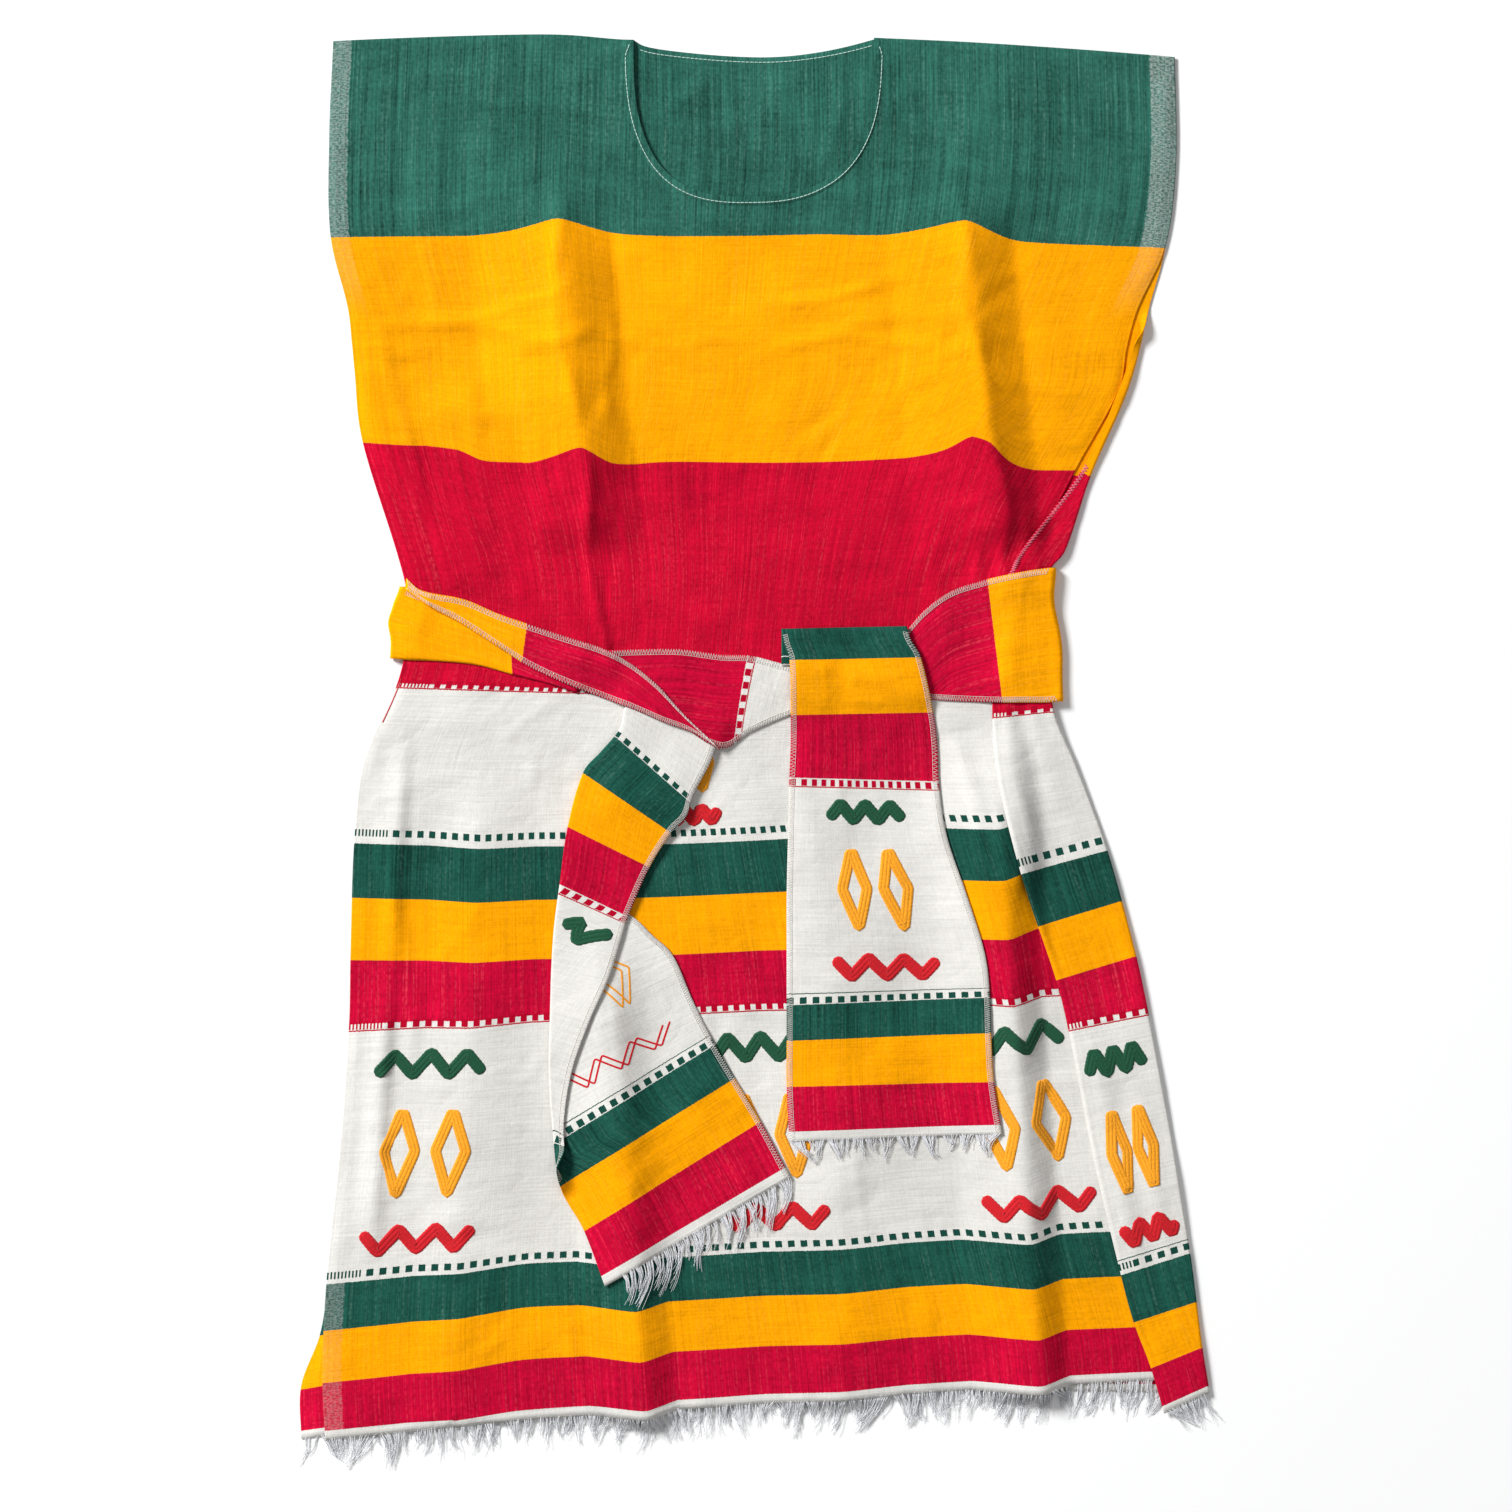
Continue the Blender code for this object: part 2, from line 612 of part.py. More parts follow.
def build():
    """Makes every piece of the dress and its sash."""
    for old in list(bpy.data.objects):
        bpy.data.objects.remove(old)
    dress = bpy.data.collections.new("striped_dress_with_sash")
    bpy.context.scene.collection.children.link(dress)

    # Body
    waist_lines = joined([355, 372, 388], joined(spaced(388, 485, 3), [485, 510, 545]))
    skirt_lines = joined(waist_lines, spaced(545, CUT_LENGTH, 13))
    front_columns = joined(spaced(0, 0.19, 4), spaced(0.19, SHOULDER_SHARE, 6))
    front_columns = joined(front_columns, spaced(SHOULDER_SHARE, 1 - SHOULDER_SHARE, 12))
    front_columns = joined(front_columns, spaced(1 - SHOULDER_SHARE, 0.88, 8))
    front_columns = joined(front_columns, spaced(0.88, 1, 3))
    front_lines = joined(joined(spaced(0, YOKE_DOWN, 5), spaced(YOKE_DOWN, 355, 6)), skirt_lines)
    front = cloth("front_panel", lay_front, front_columns, front_lines, RED, dress)
    back_columns = joined(spaced(0, 0.8, 10), spaced(0.8, 1, 8))
    back_lines = joined(spaced(0, ARMHOLE_END, 6), spaced(ARMHOLE_END, ARMHOLE_END + TURN_UP, 3))
    back_lines = joined(joined(back_lines, spaced(ARMHOLE_END + TURN_UP, 355, 4)), skirt_lines)
    back = cloth("back_panel", lay_back, back_columns, back_lines, GREEN, dress)
    pile = [back, front]

    # Sash, in the order in which its stretches lie on each other
    bend = spaced(-0.5, 0, 4)
    across = spaced(0, 1, 5)

    def under_waist(across, down):
        left = strip_point(SASH_LEFT_WRAP, SASH_LEFT_WRAP[0].along, across)
        right = strip_point(SASH_RIGHT_WRAP, SASH_RIGHT_WRAP[0].along, across)
        inset = Vector((SASH_UNDER + 6, 0))
        place = between(left + inset, right - inset, down)
        return place.x, place.y, WALL / 2

    cloth("sash_back", under_waist, across, spaced(0, 1, 10), RED, dress)
    over = Drape(pile, SASH_RIGHT_WRAP)
    lay = lay_wrap(SASH_RIGHT_WRAP, over, 1)
    lines = joined([-1.0, -0.5], joined(bend, spaced(0, 1, 10)))
    pile.append(cloth("sash_right_wrap", lay, across, lines, RED, dress))
    over = Drape(pile, SASH_LEFT_WRAP)
    lay = lay_wrap(SASH_LEFT_WRAP, over, -1)
    pile.append(cloth("sash_left_wrap", lay, across, lines, YELLOW, dress))
    over = Drape(pile, SASH_LEFT_TAIL)
    turned = joined(spaced(0, 0.42, 3), joined(spaced(0.42, 0.58, 4), spaced(0.58, 1, 8)))
    left_tail, left_over = lay_turned(SASH_LEFT_TAIL, over), over
    pile.append(cloth("sash_left_tail", left_tail, turned, spaced(0, 1, 30), WHITE, dress))
    over = Drape(pile, SASH_MIDDLE)
    pile.append(cloth("sash_middle", lay_strip(SASH_MIDDLE, over), across, spaced(0, 1, 10), RED, dress))
    over = Drape(pile, SASH_LEFT_FOLD)
    lay = lay_strip(SASH_LEFT_FOLD, over)
    pile.append(cloth("sash_left_fold", lay, spaced(0, 1, 4), spaced(0, 1, 16), YELLOW, dress))
    over = Drape(pile, SASH_RIGHT_TAIL)
    right_tail, right_over = lay_hung(SASH_RIGHT_TAIL, over), over
    lines = joined([-1.0, -0.75, -0.5], joined(bend, spaced(0, 1, 24)))
    pile.append(cloth("sash_right_tail", right_tail, spaced(0, 1, 8), lines, GREEN, dress))

    # Fringes
    def floor(x, y):
        return FRINGE_WALL / 2 + 0.2

    def over_back(x, y):
        return FRINGE_WALL / 2 + 2.0

    shown = [step for step in front_columns if step < 0.97]
    hems = {
        "back": (cut_edge(lay_back, [step for step in back_columns if step <= 0.8], CUT_LENGTH), floor),
        "front": (cut_edge(lay_front, shown, CUT_LENGTH), over_back),
        "flap": (cut_edge(lay_back, [step for step in reversed(back_columns) if step >= 0.9], CUT_LENGTH), over_back),
        "right": (cut_edge(right_tail, spaced(0, 1, 8), 1), right_over.height),
        "left": (cut_edge(left_tail, [step for step in turned if step >= 0.58], 1), left_over.height),
    }
    for seed, (name, (edge, ground)) in enumerate(hems.items()):
        fringe(FRINGES[name], edge, ground, seed, dress)

    for piece in dress.objects:
        piece.data.transform(Matrix.Translation(Vector((PLACE_X, PLACE_Y, 0)) * MM))


build()
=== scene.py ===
"""A striped handwoven cotton dress laid flat with its own sash: cloth, stitches, embroidery and fringes.

The tables below are in millimetres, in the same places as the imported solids. +X is to the right as seen from
above, +Y runs from the hem to the neck and +Z is up from the surface that the dress lies on.
"""

import logging
import math
import random
from dataclasses import dataclass, field
from enum import Enum
from typing import Callable, NamedTuple, Sequence

import bmesh
import bpy
import numpy as np
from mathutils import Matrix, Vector
from mathutils.bvhtree import BVHTree


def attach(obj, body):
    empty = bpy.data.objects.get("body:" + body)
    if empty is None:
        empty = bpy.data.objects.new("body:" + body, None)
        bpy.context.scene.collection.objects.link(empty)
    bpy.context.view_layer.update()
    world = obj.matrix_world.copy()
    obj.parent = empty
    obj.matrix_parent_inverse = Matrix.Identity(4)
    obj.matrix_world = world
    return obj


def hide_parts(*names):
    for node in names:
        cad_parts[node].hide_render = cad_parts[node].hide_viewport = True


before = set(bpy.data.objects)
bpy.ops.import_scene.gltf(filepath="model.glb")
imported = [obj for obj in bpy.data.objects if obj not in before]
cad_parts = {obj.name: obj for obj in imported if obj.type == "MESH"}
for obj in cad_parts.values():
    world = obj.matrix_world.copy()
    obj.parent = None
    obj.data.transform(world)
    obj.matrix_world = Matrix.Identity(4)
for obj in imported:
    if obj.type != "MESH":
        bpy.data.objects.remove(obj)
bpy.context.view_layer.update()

LOG = logging.getLogger("dress")
Array = np.ndarray
Socket = bpy.types.NodeSocket

MM = 0.001
# Where the tables' own origin lies in the row's frame
PLACE = np.array((-3.25, -0.4, 0.0))

# Sizes of the laid cloth
CLOTH_WALL = 0.7
PANEL_LIFT = 1.8
LAYER_GAP = 0.25
CUT_LENGTH = 1030.0
YOKE_DOWN = 145.0
NECK_HALF_WIDTH = 90.0
NECK_DEPTH = 118.0
NECK_ROUNDNESS = 2.8
BACK_NECK_DEPTH = 17.0
NECK_SINK = 5.0
SHOULDER_SHARE = 0.335
SASH_FOLD_RADIUS = 1.5
SASH_UNDER = 14.0
BACK_LEVEL = 0.6
FRONT_WIDTH = 631.0
SASH_WIDTH = 160.0
WAIST_LOW = 36.0
WAIST_HIGH = 146.0
WAIST_RAMP = 34.0
WAIST_PRESS = 0.82
SASH_LIFT = 1.5
ARMHOLE_END = 202.0
# How pointed the long folds are, from 0, a wave, to 1, a crest, and how much that crest is rounded off
CREST_SHARE = 0.85
CREST_ROUNDING = 0.004
# The share of a fold's length in which it rises, and how low a fold lies that runs out over the hem
FOLD_RISE = 0.2
HEM_FOLD_Y = -450
# The deepest that a crease may dip before the front would meet the back
DEEPEST_DIP = 0.75
# How far aside a fold still counts for what lies on the front
CLEAR_REACH = 9.0
# The turned edge of the necklines: its width, its rise and how soft its step is
NECK_HEM = 5.6
NECK_HEM_RISE = 0.7
HEM_STEP = 1.2
# The run in which the back's margin turns over, and the narrowest margin
TURN_UP = 34.0
TURN_EDGE = 4.0
# Stitches: how high a thread lies on the cloth, how far its ends dip in, and the points of one zigzag
STITCH_LIFT = 0.2
STITCH_DIP = 0.35
STITCH_STEPS = 8
# How close a figure comes to the cloth's sides, and the points that an unbroken run needs at least
FIGURE_MARGIN = 6
SHORTEST_RUN = 6
SHORTEST_PART = 14
# Fringes: a thread's radius and points, and the distance from clump to clump
FRINGE_RADIUS = 0.36
FRINGE_POINTS = 7
CLUMP_SPACING = 5.6


class FrontRow(NamedTuple):
    """One line across the front, by its distance down from the shoulder."""

    down: float
    left_x: float
    left_y: float
    middle_y: float
    right_x: float
    right_y: float


class BackRow(NamedTuple):
    """One line across the back: its left edge, its fold at the right, and the edge that lies on the front."""

    down: float
    left_x: float
    left_y: float
    fold_x: float
    fold_y: float
    edge_x: float
    edge_y: float


class Fold(NamedTuple):
    """A long fold that stands up from the front; drift moves the woven lines along with its crest."""

    top_x: float
    top_y: float
    low_x: float
    low_y: float
    height: float
    left_width: float
    right_width: float
    drift: float


class Crease(NamedTuple):
    """A small soft ridge, or trough where its height is negative, from one place to another."""

    from_x: float
    from_y: float
    to_x: float
    to_y: float
    height: float
    width: float


class Shift(NamedTuple):
    """A place where the woven lines ride up, or down where its rise is negative, beside a fold."""

    x: float
    y: float
    rise: float
    left: float
    right: float
    reach: float


class StripRow(NamedTuple):
    """One line across a stretch of the sash, by its distance from the cut end of its tail."""

    along: float
    upper_x: float
    upper_y: float
    lower_x: float
    lower_y: float


class TurnRow(NamedTuple):
    """One line across the tail that turns over: its free edge on top, its fold, and its under edge."""

    along: float
    free_x: float
    free_y: float
    fold_x: float
    fold_y: float
    under_x: float
    under_y: float


FRONT = [
    FrontRow(0, -317, 536, 541, 314, 524),
    FrontRow(72, -320, 464, 467, 315, 446),
    FrontRow(145, -319, 390, 390, 307, 382),
    FrontRow(202, -306, 336, 334, 286, 334),
    FrontRow(232, -303, 310, 305, 278, 305),
    FrontRow(258, -301, 289, 277, 273, 276),
    FrontRow(316, -295, 236, 220, 240, 215),
    FrontRow(400, -264, 134, 136, 205, 141),
    FrontRow(440, -261, 98, 95, 196, 96),
    FrontRow(485, -268, 57, 51, 194, 50),
    FrontRow(545, -294, -5, -6, 200, 8),
    FrontRow(601, -301, -61, -61, 217, -41),
    FrontRow(687, -304, -149, -144, 243, -122),
    FrontRow(730, -305, -200, -186, 252, -172),
    FrontRow(820, -312, -294, -281, 274, -264),
    FrontRow(912, -322, -394, -371, 292, -353),
    FrontRow(988, -325, -467, -440, 312, -424),
    FrontRow(1030, -323, -513, -486, 318, -467),
]
BACK = [
    BackRow(0, -315, 534, 312, 522, 306, 522),
    BackRow(72, -318, 464, 313, 446, 307, 446),
    BackRow(145, -317, 393, 307, 382, 301, 382),
    BackRow(202, -303, 336, 295, 337, 288, 337),
    BackRow(258, -298, 286, 279, 276, 272, 276),
    BackRow(316, -292, 233, 251, 211, 244, 214),
    BackRow(372, -271, 161, 231, 153, 198, 153),
    BackRow(388, -264, 146, 220, 140, 191, 140),
    BackRow(400, -261, 134, 218, 128, 186, 128),
    BackRow(440, -259, 98, 219, 86, 180, 86),
    BackRow(485, -264, 57, 222, 38, 177, 34),
    BackRow(545, -290, -7, 241, -10, 181, -18),
    BackRow(601, -297, -65, 262, -67, 197, -84),
    BackRow(687, -300, -153, 284, -147, 224, -165),
    BackRow(730, -301, -202, 293, -188, 233, -200),
    BackRow(820, -308, -294, 311, -284, 252, -298),
    BackRow(912, -321, -396, 325, -371, 273, -387),
    BackRow(950, -327, -434, 330, -409, 283, -424),
    BackRow(988, -341, -472, 334, -441, 295, -456),
    BackRow(1030, -341, -512, 340, -478, 306, -493),
]
FOLDS = [
    Fold(-153, 446, -112, 60, 13, 70, 40, 4),
    Fold(154, 446, 190, 60, 14, 62, 34, 4),
    Fold(-215, 300, -188, 60, 5, 40, 30, -7),
    Fold(176, 50, 216, -500, 11, 52, 22, -6),
    Fold(-118, -120, -80, -510, 9, 42, 24, -6),
    Fold(-262, 40, -290, -400, 3, 14, 9, 0),
    Fold(-205, 30, -225, -500, 3, 36, 44, -2),
    Fold(60, -60, 66, -500, 4, 60, 50, -2),
]
# Where the woven lines ride up or down at a fold
SHIFTS = [
    Shift(-149, 408, 10, 26, 34, 60),
    Shift(157, 408, 13, 42, 24, 60),
    Shift(50, 395, 3, 60, 60, 50),
    Shift(174, 235, 14, 110, 12, 60),
    Shift(161, 235, 11, 15, 16, 50),
    Shift(-131, 226, 7, 18, 15, 32),
    Shift(-222, 228, 5, 22, 22, 30),
    Shift(-172, 224, -9, 30, 34, 30),
    Shift(-108, 224, -6, 22, 26, 30),
    Shift(-170, -420, 4.5, 70, 70, 80),
]
# Small creases of the front
CREASES = [
    Crease(-290, 330, -150, 306, 1.9, 6),
    Crease(-180, 304, -120, 322, 1.5, 6),
    Crease(-250, 250, -170, 262, 1.1, 8),
    Crease(10, 344, 112, 352, 1.8, 4),
    Crease(20, 330, 108, 338, 1, 6),
    Crease(190, 330, 262, 300, 1.3, 7),
    Crease(180, 292, 250, 262, 1.4, 7),
    Crease(110, 452, 190, 432, 1.5, 6),
    Crease(120, 400, 180, 418, 1, 8),
    Crease(-262, 470, -220, 300, 0.9, 9),
    Crease(-272, 320, -258, 170, 1.3, 5),
    Crease(-60, 150, -30, 90, 1, 10),
    Crease(0, 200, 90, 170, 0.8, 13),
    Crease(120, 160, 150, 90, 1.5, 7),
    Crease(196, 190, 205, 120, 1.6, 6),
    Crease(-150, 120, -118, 60, 1.3, 7),
    Crease(-200, 20, -150, -20, 1.3, 9),
    Crease(-110, -10, -150, 20, 1.2, 9),
    Crease(-60, -60, -20, -150, 0.9, 11),
    Crease(150, 20, 168, -90, 1.7, 7),
    Crease(188, -20, 196, -110, 1.9, 4),
    Crease(-272, -20, -268, -230, 1.5, 7),
    Crease(-240, -340, -160, -360, 0.9, 11),
    Crease(20, -300, 120, -322, 0.9, 14),
    Crease(180, -380, 196, -470, 1.6, 6),
    Crease(-140, -430, -124, -500, 1.6, 6),
    Crease(-40, -430, -44, -492, 1.2, 9),
    Crease(120, -400, 132, -480, 1.1, 8),
    Crease(-237, 323, -186, 336, 1.4, 3.5),
    Crease(-186, 336, -138, 353, 1.2, 3.5),
    Crease(-106, 311, -63, 307, 1.3, 3.5),
    Crease(-63, 307, 8, 309, 1.1, 3.5),
    Crease(-286, 320, -286, 240, 1.6, 12),
    Crease(-112, 330, -108, 250, 1.5, 4),
    Crease(30, 318, 150, 326, 1.2, 5),
    Crease(0, 300, 140, 312, 1.4, 4),
    Crease(150, 340, 170, 300, 1.6, 7),
    Crease(-300, 500, -200, 492, 1.1, 5),
    Crease(-200, 480, -110, 496, 0.9, 5),
    Crease(-180, 440, -100, 452, 1, 7),
    Crease(110, 505, 128, 462, 1.7, 5),
    Crease(118, 470, 160, 452, 1.3, 4),
    Crease(200, 478, 280, 462, 0.8, 6),
    Crease(-150, 432, -147, 352, 1.8, 4),
    Crease(-147, 352, -138, 250, 1.6, 4),
    Crease(-104, 440, -104, 340, -0.75, 5),
    Crease(-104, 340, -98, 240, -0.75, 5),
    Crease(150, 436, 156, 350, 1.8, 4),
    Crease(156, 350, 172, 240, 1.6, 4),
    Crease(-131, 225, -121, 150, 3, 4),
    Crease(-121, 150, -117, 60, 3.2, 4),
    Crease(-112, 210, -108, 60, -0.75, 4),
    Crease(181, 238, 186, 160, 3, 4.5),
    Crease(186, 160, 187, 120, 2.6, 4.5),
    Crease(148, 188, 174, 191, 1.8, 3.5),
    Crease(164, 158, 167, 130, 2, 4),
    Crease(136, 530, 142, 470, 1.8, 4.5),
    Crease(190, 492, 194, 440, 1.2, 4),
    Crease(194, 440, 186, 404, 1.2, 4),
    Crease(-250, 446, -190, 432, 1.3, 4),
    Crease(-240, 410, -160, 420, 1.2, 5),
    Crease(-210, 500, -150, 470, 1.3, 4.5),
    Crease(-290, 420, -250, 400, 1.2, 4),
    Crease(200, 440, 260, 425, 1.2, 5),
    Crease(210, 500, 250, 480, 1.1, 5),
    Crease(-60, 405, 60, 400, 0.9, 5),
]
# Creases of the back where it shows inside the neck
BACK_CREASES = [
    Crease(62, 516, 62, 470, 2.4, 5),
    Crease(62, 484, 48, 440, 2.6, 4.5),
    Crease(-66, 488, -34, 508, 2.4, 6),
    Crease(-50, 448, -36, 424, 1.8, 5),
    Crease(16, 470, 40, 430, 1.4, 6),
    Crease(0, 510, 30, 440, 1.2, 12),
]
# Small creases of the sash
SASH_CREASES = [
    Crease(30, 58, 96, 44, -1.0, 4),
    Crease(40, 66, 110, 60, 0.8, 4),
    Crease(28, -160, 70, -172, 0.9, 5),
    Crease(60, -205, 130, -186, -0.9, 5),
    Crease(100, -190, 168, -214, 0.8, 4),
    Crease(34, -20, 60, -120, 0.7, 9),
    Crease(110, -20, 128, -130, -0.7, 9),
    Crease(-96, 28, -50, -12, 0.9, 6),
    Crease(-128, -30, -76, -66, -0.7, 6),
    Crease(-120, -200, -60, -190, 0.9, 7),
    Crease(-110, -240, -40, -210, -0.8, 6),
    Crease(-130, -330, -40, -280, 0.6, 8),
    Crease(-230, 100, -180, 82, 0.8, 5),
    Crease(160, 112, 176, 60, -0.9, 6),
    Crease(190, 120, 198, 56, 0.8, 7),
]
SASH_LEFT_WRAP = [
    StripRow(816, -271, 127, -274, 73),
    StripRow(805, -260, 124, -262, 72),
    StripRow(780, -240, 116, -236, 71),
    StripRow(750, -212, 108, -208, 68),
    StripRow(722, -184, 98, -182, 61),
    StripRow(690, -155, 86, -154, 54),
    StripRow(665, -132, 76, -134, 47),
]
SASH_LEFT_FOLD = [
    StripRow(808, -262, 133, -263, 125),
    StripRow(795, -251, 124, -246, 113),
    StripRow(765, -218, 117, -222, 100),
    StripRow(740, -192, 106, -192, 81),
    StripRow(717, -165, 97, -170, 67),
    StripRow(690, -138, 88, -142, 54),
    StripRow(667, -116, 81, -116, 44),
    StripRow(640, -95, 70, -89, 34),
    StripRow(615, -74, 53, -68, 25),
    StripRow(590, -53, 30, -46, 17),
    StripRow(572, -31, 9, -27, 5),
]
SASH_MIDDLE = [
    StripRow(662, -110, 79, -108, 61),
    StripRow(640, -87, 80, -87, 48),
    StripRow(612, -57, 80, -57, 24),
    StripRow(582, -26, 76, -26, 6),
    StripRow(556, -4, 75, -4, 18),
    StripRow(528, 24, 68, 24, 30),
    StripRow(505, 50, 64, 50, 38),
]
SASH_RIGHT_WRAP = [
    StripRow(777, 225, 141, 230, 41),
    StripRow(765, 213, 140, 219, 40),
    StripRow(745, 195, 137, 200, 40),
    StripRow(717, 168, 131, 180, 40),
    StripRow(690, 145, 123, 150, 41),
    StripRow(665, 126, 109, 132, 42),
    StripRow(640, 108, 90, 110, 42),
    StripRow(605, 76, 72, 78, 40),
]
SASH_RIGHT_TAIL = [
    StripRow(411, 19, 95, 113, 97),
    StripRow(400, 21, 85, 116, 87),
    StripRow(388, 25, 73, 123, 75),
    StripRow(343, 26, 30, 133, 32),
    StripRow(318, 26, 6, 136, 6),
    StripRow(300, 25, -17, 137, -20),
    StripRow(250, 24, -59, 143, -60),
    StripRow(205, 23, -104, 157, -102),
    StripRow(160, 23, -145, 171, -147),
    StripRow(118, 23, -186, 175, -180),
    StripRow(84, 23, -215, 176, -209),
    StripRow(44, 23, -247, 178, -243),
    StripRow(0, 25, -289, 184, -283),
]
SASH_LEFT_TAIL = [
    TurnRow(490, -26, 22, -90, 50, -76, 42),
    TurnRow(462, -34, -4, -98, 36, -84, 27),
    TurnRow(438, -47, -29, -102, 20, -88, 13),
    TurnRow(412, -52, -45, -116, 3, -102, -5),
    TurnRow(388, -63, -57, -129, -12, -114, -18),
    TurnRow(343, -80, -84, -141, -54, -126, -60),
    TurnRow(300, -96, -121, -147, -97, -129, -104),
    TurnRow(270, -102, -141, -151, -128, -96, -118),
    TurnRow(240, -110, -166, -153, -158, -78, -134),
    TurnRow(200, -125, -200, -154, -192, -62, -150),
    TurnRow(160, -139, -241, -155, -236, -47, -184),
    TurnRow(125, -144, -285, -152, -282, -34, -210),
    TurnRow(84, -135, -320, -146, -324, -15, -243),
    TurnRow(44, -119, -350, -129, -355, 3, -273),
    TurnRow(0, -103, -392, -113, -397, 26, -316),
]


class Yarn(Enum):
    """The yarns that the dress is woven, sewn and embroidered with, as linear colours."""

    GREEN = (0.0225, 0.112, 0.084)
    DEEP_GREEN = (0.0105, 0.073, 0.053)
    YELLOW = (0.90, 0.345, 0.0004)
    RED = (0.52, 0.0025, 0.026)
    DEEP_RED = (0.50, 0.0022, 0.031)
    WHITE = (0.68, 0.665, 0.63)
    STITCH_GREEN = (0.004, 0.075, 0.032)
    STITCH_YELLOW = (0.93, 0.36, 0.010)
    STITCH_RED = (0.60, 0.004, 0.012)
    SEAM_WHITE = (0.50, 0.72, 0.64)
    OVERLOCK = (0.80, 0.76, 0.72)
    SEAM_PINK = (0.76, 0.15, 0.23)
    FRINGE_GREY = (0.74, 0.745, 0.77)


class Band(NamedTuple):
    """A woven colour that starts at a distance along the cloth."""

    start: float
    yarn: Yarn


class SquareRow(NamedTuple):
    """A row of small woven squares, or a plain thin line where it isn't broken, along the cloth's width."""

    middle: float
    half: float
    yarn: Yarn
    broken: bool


DRESS_BANDS = (
    Band(0, Yarn.GREEN),
    Band(145, Yarn.YELLOW),
    Band(316, Yarn.RED),
    Band(485, Yarn.WHITE),
    Band(601.5, Yarn.DEEP_GREEN),
    Band(642, Yarn.YELLOW),
    Band(687, Yarn.DEEP_RED),
    Band(730, Yarn.WHITE),
    Band(912.5, Yarn.DEEP_GREEN),
    Band(947, Yarn.YELLOW),
    Band(988, Yarn.DEEP_RED),
    Band(1023, Yarn.WHITE),
)
DRESS_ROWS = (
    SquareRow(487.5, 2.7, Yarn.RED, True),
    SquareRow(490.8, 0.5, Yarn.RED, False),
    SquareRow(597.3, 2.6, Yarn.DEEP_GREEN, True),
    SquareRow(732.5, 2.7, Yarn.RED, True),
    SquareRow(736.0, 0.5, Yarn.RED, False),
    SquareRow(908.3, 2.6, Yarn.DEEP_GREEN, True),
)
SASH_BANDS = (
    Band(0, Yarn.WHITE),
    Band(5, Yarn.DEEP_RED),
    Band(41, Yarn.YELLOW),
    Band(83, Yarn.DEEP_GREEN),
    Band(116, Yarn.WHITE),
    Band(300, Yarn.DEEP_RED),
    Band(341, Yarn.YELLOW),
    Band(385, Yarn.DEEP_GREEN),
    Band(428, Yarn.WHITE),
    Band(558, Yarn.DEEP_RED),
    Band(719, Yarn.YELLOW),
    Band(850, Yarn.DEEP_GREEN),
    Band(900, Yarn.WHITE),
)
SASH_ROWS = (
    SquareRow(120.5, 2.7, Yarn.DEEP_GREEN, True),
    SquareRow(126.0, 0.4, Yarn.DEEP_GREEN, False),
    SquareRow(297.3, 2.7, Yarn.RED, True),
    SquareRow(293.8, 0.5, Yarn.RED, False),
    SquareRow(433.0, 2.7, Yarn.DEEP_GREEN, True),
    SquareRow(555.3, 2.7, Yarn.RED, True),
    SquareRow(551.8, 0.5, Yarn.RED, False),
)


def eased(share: Array) -> Array:
    """0 before the start, 1 after the end, and smooth between."""
    share = np.clip(share, 0.0, 1.0)
    return share * share * (3 - 2 * share)


def read(rows: Sequence[NamedTuple], column: str, at: Array) -> Array:
    """Reads a table's column on a smooth curve through its rows.

    Args:
        rows: The table, whose first column is the distance that it is read by.
        column: The name of the column to read.
        at: The distances.

    Returns:
        The column's values at those distances.
    """
    ordered = sorted(rows, key=lambda row: row[0])
    place = np.array([row[0] for row in ordered], dtype=float)
    value = np.array([getattr(row, column) for row in ordered], dtype=float)
    slope = np.empty_like(value)
    slope[1:-1] = (value[2:] - value[:-2]) / (place[2:] - place[:-2])
    slope[0] = (value[1] - value[0]) / (place[1] - place[0])
    slope[-1] = (value[-1] - value[-2]) / (place[-1] - place[-2])
    i = np.clip(np.searchsorted(place, at, side="right") - 1, 0, len(place) - 2)
    span = place[i + 1] - place[i]
    f = (at - place[i]) / span
    return (
        value[i] * (2 * f**3 - 3 * f**2 + 1)
        + slope[i] * span * (f**3 - 2 * f**2 + f)
        + value[i + 1] * (3 * f**2 - 2 * f**3)
        + slope[i + 1] * span * (f**3 - f**2)
    )


def mixed(first: Array, last: Array, share: Array) -> Array:
    """A value between two others."""
    return first + (last - first) * share


def joined(*columns: Array) -> Array:
    """Stacks x, y and z into points."""
    return np.stack(np.broadcast_arrays(*columns), axis=-1)


def between(cells: Array, u: Array, v: Array) -> Array:
    """Reads a grid between its cells.

    Args:
        cells: The grid.
        u: Places along its first side, in cells.
        v: Places along its second side, in cells.

    Returns:
        The values there.
    """
    u, v = np.clip(u, 0, cells.shape[0] - 1.001), np.clip(v, 0, cells.shape[1] - 1.001)
    i, j = u.astype(int), v.astype(int)
    near = mixed(cells[i, j], cells[i + 1, j], u - i)
    far = mixed(cells[i, j + 1], cells[i + 1, j + 1], u - i)
    return mixed(near, far, v - j)


def waist(y: Array) -> Array:
    """1 where the sash squeezes the dress, 0 away from it."""
    from_low, from_high = y - WAIST_LOW + WAIST_RAMP, WAIST_HIGH + WAIST_RAMP - y
    return eased(from_low / WAIST_RAMP) * eased(from_high / WAIST_RAMP)


def neck_sink(x: Array, down: Array) -> Array:
    """How far the shoulder sinks beside the left end of the neck."""
    return NECK_SINK * np.exp(-(((x + NECK_HALF_WIDTH) / 40) ** 2)) * np.clip(1 - down / YOKE_DOWN, 0, 1)


